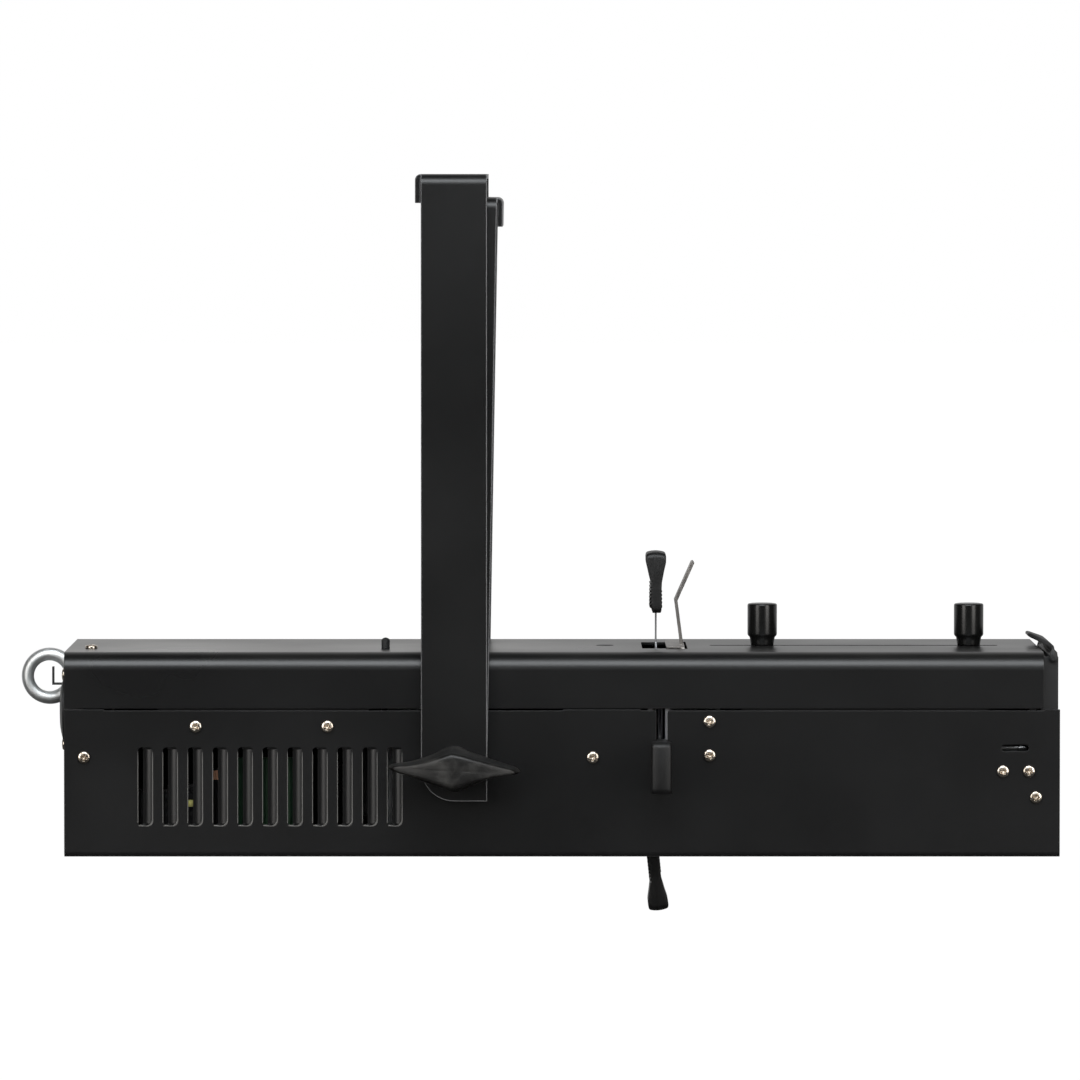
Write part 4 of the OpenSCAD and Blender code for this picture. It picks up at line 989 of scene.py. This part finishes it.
def wing_outline(length, rise, count=48):
    """S-shaped lozenge: each half is hollow before its crest and straight after it."""
    crest = -0.05
    points = []
    for side in (1, -1):
        for i in range(count):
            u = -1 + 2 * i / count
            if u < crest:
                height = 0.14 + 0.86 * (1 - (crest - u) / (1 + crest)) ** 1.9
            else:
                height = 0.12 + 0.88 * (1 - (u - crest) / (1 - crest)) ** 1.05
            tip = min(1, (1 - abs(u)) * 14) ** 0.5
            crown = 1 - 0.05 * math.exp(-((u - crest) / 0.09) ** 2)
            points.append((side * u * length, side * rise * height * tip * crown))
    return points


def wing_knob(node, side):
    """Lofts sections from the bracket outwards: base, hub, wings, and a smaller outer face."""
    count = 48
    base = 11.2
    rim = 2.6
    dome = 0.32
    reach = 33
    depth = abs(corner(node, 0 if side < 0 else 1).y) / MM - KNOB_FACE / MM
    round_base = [(-base * math.cos(a), base * math.sin(a))
                  for a in (TURN * i / (2 * count) for i in range(2 * count))]
    back = wing_outline(33.3, 12.2, count)
    face = wing_outline(31.6, 9.6, count)
    levels = [(0.0, round_base, 0.96, 0), (0.6, round_base, 1.0, 0), (2.6, round_base, 1.0, 0),
              (3.2, round_base, 0.95, 0), (4.1, back, 0.80, 0.0), (4.9, back, 0.96, 0.0),
              (6.0, back, 1.0, 0.0), (12.0, back, 1.0, 0.35), (17.0, back, 1.0, 0.8)]
    for a in range(0, 91, 15):
        drawn_in = 1 - math.cos(math.radians(a))
        levels.append((depth - rim + rim * math.sin(math.radians(a)), face,
                       (1 - 0.05 * drawn_in, 1 - 0.28 * drawn_in), 0.0))
    levels += [(depth, face, (0.95 * share, 0.72 * share), 0.0) for share in (0.75, 0.5, 0.25)]
    shape = bmesh.new()
    rings = []
    spin = Matrix.Rotation(math.radians(2), 4, "Y")
    flip = Matrix.Rotation(math.pi, 4, "Z") if side > 0 else Matrix.Identity(4)
    for level, outline, size, toward in levels:
        ring = []
        for i, (x, z) in enumerate(outline):
            if toward:
                x += (face[i][0] - x) * toward
                z += (face[i][1] - z) * toward
            turn = spin if outline is not round_base else Matrix.Identity(4)
            wide, tall = size if isinstance(size, tuple) else (size, size)
            spot = turn @ Vector((x * wide, 0, z * tall))
            spot.y = -(KNOB_FACE / MM + level * (1 - dome * (spot.x / reach) ** 2))
            ring.append(shape.verts.new(PIVOT + (flip @ spot) * MM))
        rings.append(ring)
    shape.faces.new(rings[0][::-1])
    hub = shape.verts.new(PIVOT + (flip @ Vector((0, -(KNOB_FACE / MM + depth), 0))) * MM)
    skin(shape, rings + [[hub] * len(face)], closed=False)
    finished("moulded_" + node, mesh_from(node, shape, 38), WING_PLASTIC, node, node)


# Shutter grips: one side view with ribs and a swollen tip, carried across the blade


GRIP_L = 31
GRIP_HALF_W = 13
OPTIC_Z = 1.5
# Way, turn about the optical axis, the blade's plane, the grip's foot from the axis, and its bend
GRIPS = (("top", 0, 101.85, 73, 0), ("bottom", 180, 100.2, 47.5, 6), ("near", 90, 103.5, 69, 0),
         ("far", -90, 105.15, 69, 0))


def grip_outline():
    """The grip seen along the blade's width: ribs on both sides of the waist and a smooth tip."""
    tip = [(x, GRIP_L - 0.02 - 0.035 * x * x) for x in (4.3 - 8.6 * i / 40 for i in range(41))]
    swell = [(3.45, 18.0), (4.15, 22.0), (4.85, 25.2), (5.1, 26.6), (5.15, 28.6), (4.95, 29.7)]
    rib_foot = 2.4

    def rib(z):
        return max(0.0, math.sin(math.pi * (z - rib_foot)))

    deep = [(-2.5 - 0.75 * rib(z), z) for z in (rib_foot + i / 4 for i in range(56, -1, -1))]
    faint = [(2.85 + 0.3 * rib(z), z) for z in (rib_foot + i / 4 for i in range(37))]
    right = [(1.9, 0.0), (2.55, 0.25), (2.8, 1.4)] + faint + [(3.0, 15.5)] + swell
    left = [(-x, z) for x, z in swell[:0:-1]] + [(-3.45, 18.6), (-3.0, 16.6)]
    return right + tip + left + deep + [(-1.9, 0.6), (-1.7, 0.0)]


def shutter_grip(way, turn, plane, foot, bend):
    """Sections of the side view, drawn in near both ends so that every corner is round."""
    round_r = 3.0
    soft = 0.7
    shape = bmesh.new()
    place = (Matrix.Translation(at(plane, 0, OPTIC_Z)) @ Matrix.Rotation(math.radians(turn), 4, "X")
             @ Matrix.Translation((0, 0, foot * MM)) @ Matrix.Rotation(math.radians(bend), 4, "Y"))
    outline = grip_outline()
    stops = [GRIP_HALF_W - round_r * (1 - math.cos(math.radians(a))) for a in range(90, 0, -15)]
    stops += [GRIP_HALF_W - 0.35, GRIP_HALF_W - 0.08, GRIP_HALF_W]
    stops = sorted(set(stops + [-s for s in stops]))
    rings = []
    for y in stops:
        past = max(0.0, abs(y) - (GRIP_HALF_W - round_r))
        lift = round_r - math.sqrt(max(0.0, round_r ** 2 - past ** 2))
        edge = max(0.0, abs(y) - (GRIP_HALF_W - soft))
        draw = soft - math.sqrt(max(0.0, soft ** 2 - edge ** 2))
        share = 1 - 2 * lift / GRIP_L
        rings.append([shape.verts.new(place @ (Vector((
            math.copysign(max(0.2, abs(x) - draw), x), y, lift + z * share)) * MM))
            for x, z in outline])
    skin(shape, rings)
    node = "shutter_grip_" + way
    finished("moulded_" + node, mesh_from(node, shape, 42), GRIP_PLASTIC, "shutter_" + way, node)


# Forged ring bolt


def ring_bolt():
    """A forged ring on a collar and a threaded shank through the rear panel."""
    shape = bmesh.new()
    low, high = (Vector(c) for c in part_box("eye_bolt"))
    wire = 3.4 * MM
    outer = (high.z - low.z) / 2 + 0.3 * MM
    ring_r = outer - wire
    centre = Vector((low.x + outer, 0, (low.z + high.z) / 2))
    steps, sides = 96, 24
    rings = []
    for i in range(steps):
        turn = TURN * i / steps
        swell = 1.0 - 0.04 * (1 + math.cos(turn))
        ring = []
        for j in range(sides):
            around = TURN * j / sides
            reach = ring_r + wire * swell * math.cos(around)
            ring.append(shape.verts.new(centre + Vector((
                -reach * math.cos(turn), wire * swell * math.sin(around), reach * math.sin(turn)))))
        rings.append(ring)
    skin(shape, rings + rings[:1], closed=False)
    shank = [(0, -5.5), (3.2, -5.4), (3.35, -4.2), (3.4, -2.7), (4.2, -2.5), (4.5, -2.1),
             (4.5, -0.4), (4.2, 0.0), (2.5, 0.0)]
    pitch = 0.8
    for i in range(14):
        shank += [(2.5, 0.3 + i * pitch), (2.05, 0.3 + (i + 0.5) * pitch)]
    shank += [(2.4, 11.6), (2.0, 12.0), (0, 12.0)]
    place = Matrix.Translation((PANEL, 0, centre.z)) @ Matrix.Rotation(math.pi / 2, 4, "Y")
    turned(shape, scaled(shank), 40, place)
    finished("forged_eye_bolt", mesh_from("eye_bolt", shape, 40), ZINC_STEEL, "housing", "eye_bolt")


# Sprung clip over the colour frame slot


CLIP_OPEN = 22.5
CLIP_RISE = 4.9
CLIP_EAR_R = 2.2


def frame_clip():
    """A rolled barrel between two ears, and a tongue that narrows to a blunt, rounded tip."""
    axle = middle("clip_rivets")
    half = (corner("frame_clip", 1).y - corner("frame_clip", 0).y) / 2 / MM
    place = (Matrix.Translation((axle.x, PIVOT.y, axle.z))
             @ Matrix.Rotation(math.radians(CLIP_OPEN), 4, "Y"))
    shape = bmesh.new()
    lathe = Matrix.Rotation(-math.pi / 2, 4, "X")
    barrel = [(1.25, -half + 1.6), (1.75, -half + 1.7), (1.9, -half + 2.0), (1.9, half - 2.0),
              (1.75, half - 1.7), (1.25, half - 1.6), (1.25, -half + 1.6)]
    turned(shape, scaled(barrel), 32, place @ lathe)
    ear = arc((0, 0), CLIP_EAR_R, -180, 30, 14) + [(0.6, 3.4), (-1.2, 4.2), (-2.6, 3.6)]
    for side in (-1, 1):
        rings = []
        for inset, size in ((0.0, 0.94), (0.15, 1.0), (1.35, 1.0), (1.5, 0.94)):
            y = side * (half - inset)
            rings.append([shape.verts.new(place @ (Vector((x * size, y, z * size)) * MM))
                          for x, z in ear])
        skin(shape, rings)
    level = CLIP_RISE + 0.1
    # Along the tongue, above the axle, half its width and half its thickness
    spine = [(0.2, 1.2, 37.0, 0.8), (-0.3, 3.0, 37.0, 0.9), (-1.4, 4.4, 36.0, 1.0),
             (-3.2, CLIP_RISE, 32.0, 1.0), (-6.0, level, 24.0, 1.1), (-9.2, level, 16.5, 1.1),
             (-11.8, level, 12.5, 1.1), (-12.8, level, 11.5, 0.9), (-13.4, CLIP_RISE, 10.5, 0.5)]
    rings = []
    for i, (x, z, wide, thick) in enumerate(spine):
        before, after = spine[max(i - 1, 0)], spine[min(i + 1, len(spine) - 1)]
        along = Vector((after[0] - before[0], 0, after[1] - before[1])).normalized()
        up = along.cross(Vector((0, 1, 0)))
        ring = []
        for a in range(0, 360, 15):
            c, s = math.cos(math.radians(a)), math.sin(math.radians(a))
            side = math.copysign(wide - thick + thick * abs(c), c) if abs(c) > 1e-6 else 0.0
            ring.append(shape.verts.new(place @ ((Vector((x, side, z)) + up * (s * thick)) * MM)))
        rings.append(ring)
    skin(shape, rings)
    finished("sprung_frame_clip", mesh_from("frame_clip", shape, 50), PANEL_PAINT, "frame_clip",
             "frame_clip")


bpy.context.scene.view_settings.view_transform = "Standard"
place_camera()
studio_air()
studio_floor()
studio_lamps()
dress_nodes()
set_screws()
louvre_edges()
louvre_ends()
lens_knob("zoom_knob")
lens_knob("focus_knob")
wing_knob("knob_near", -1)
wing_knob("knob_far", 1)
ring_bolt()
frame_clip()
for grip in GRIPS:
    shutter_grip(*grip)
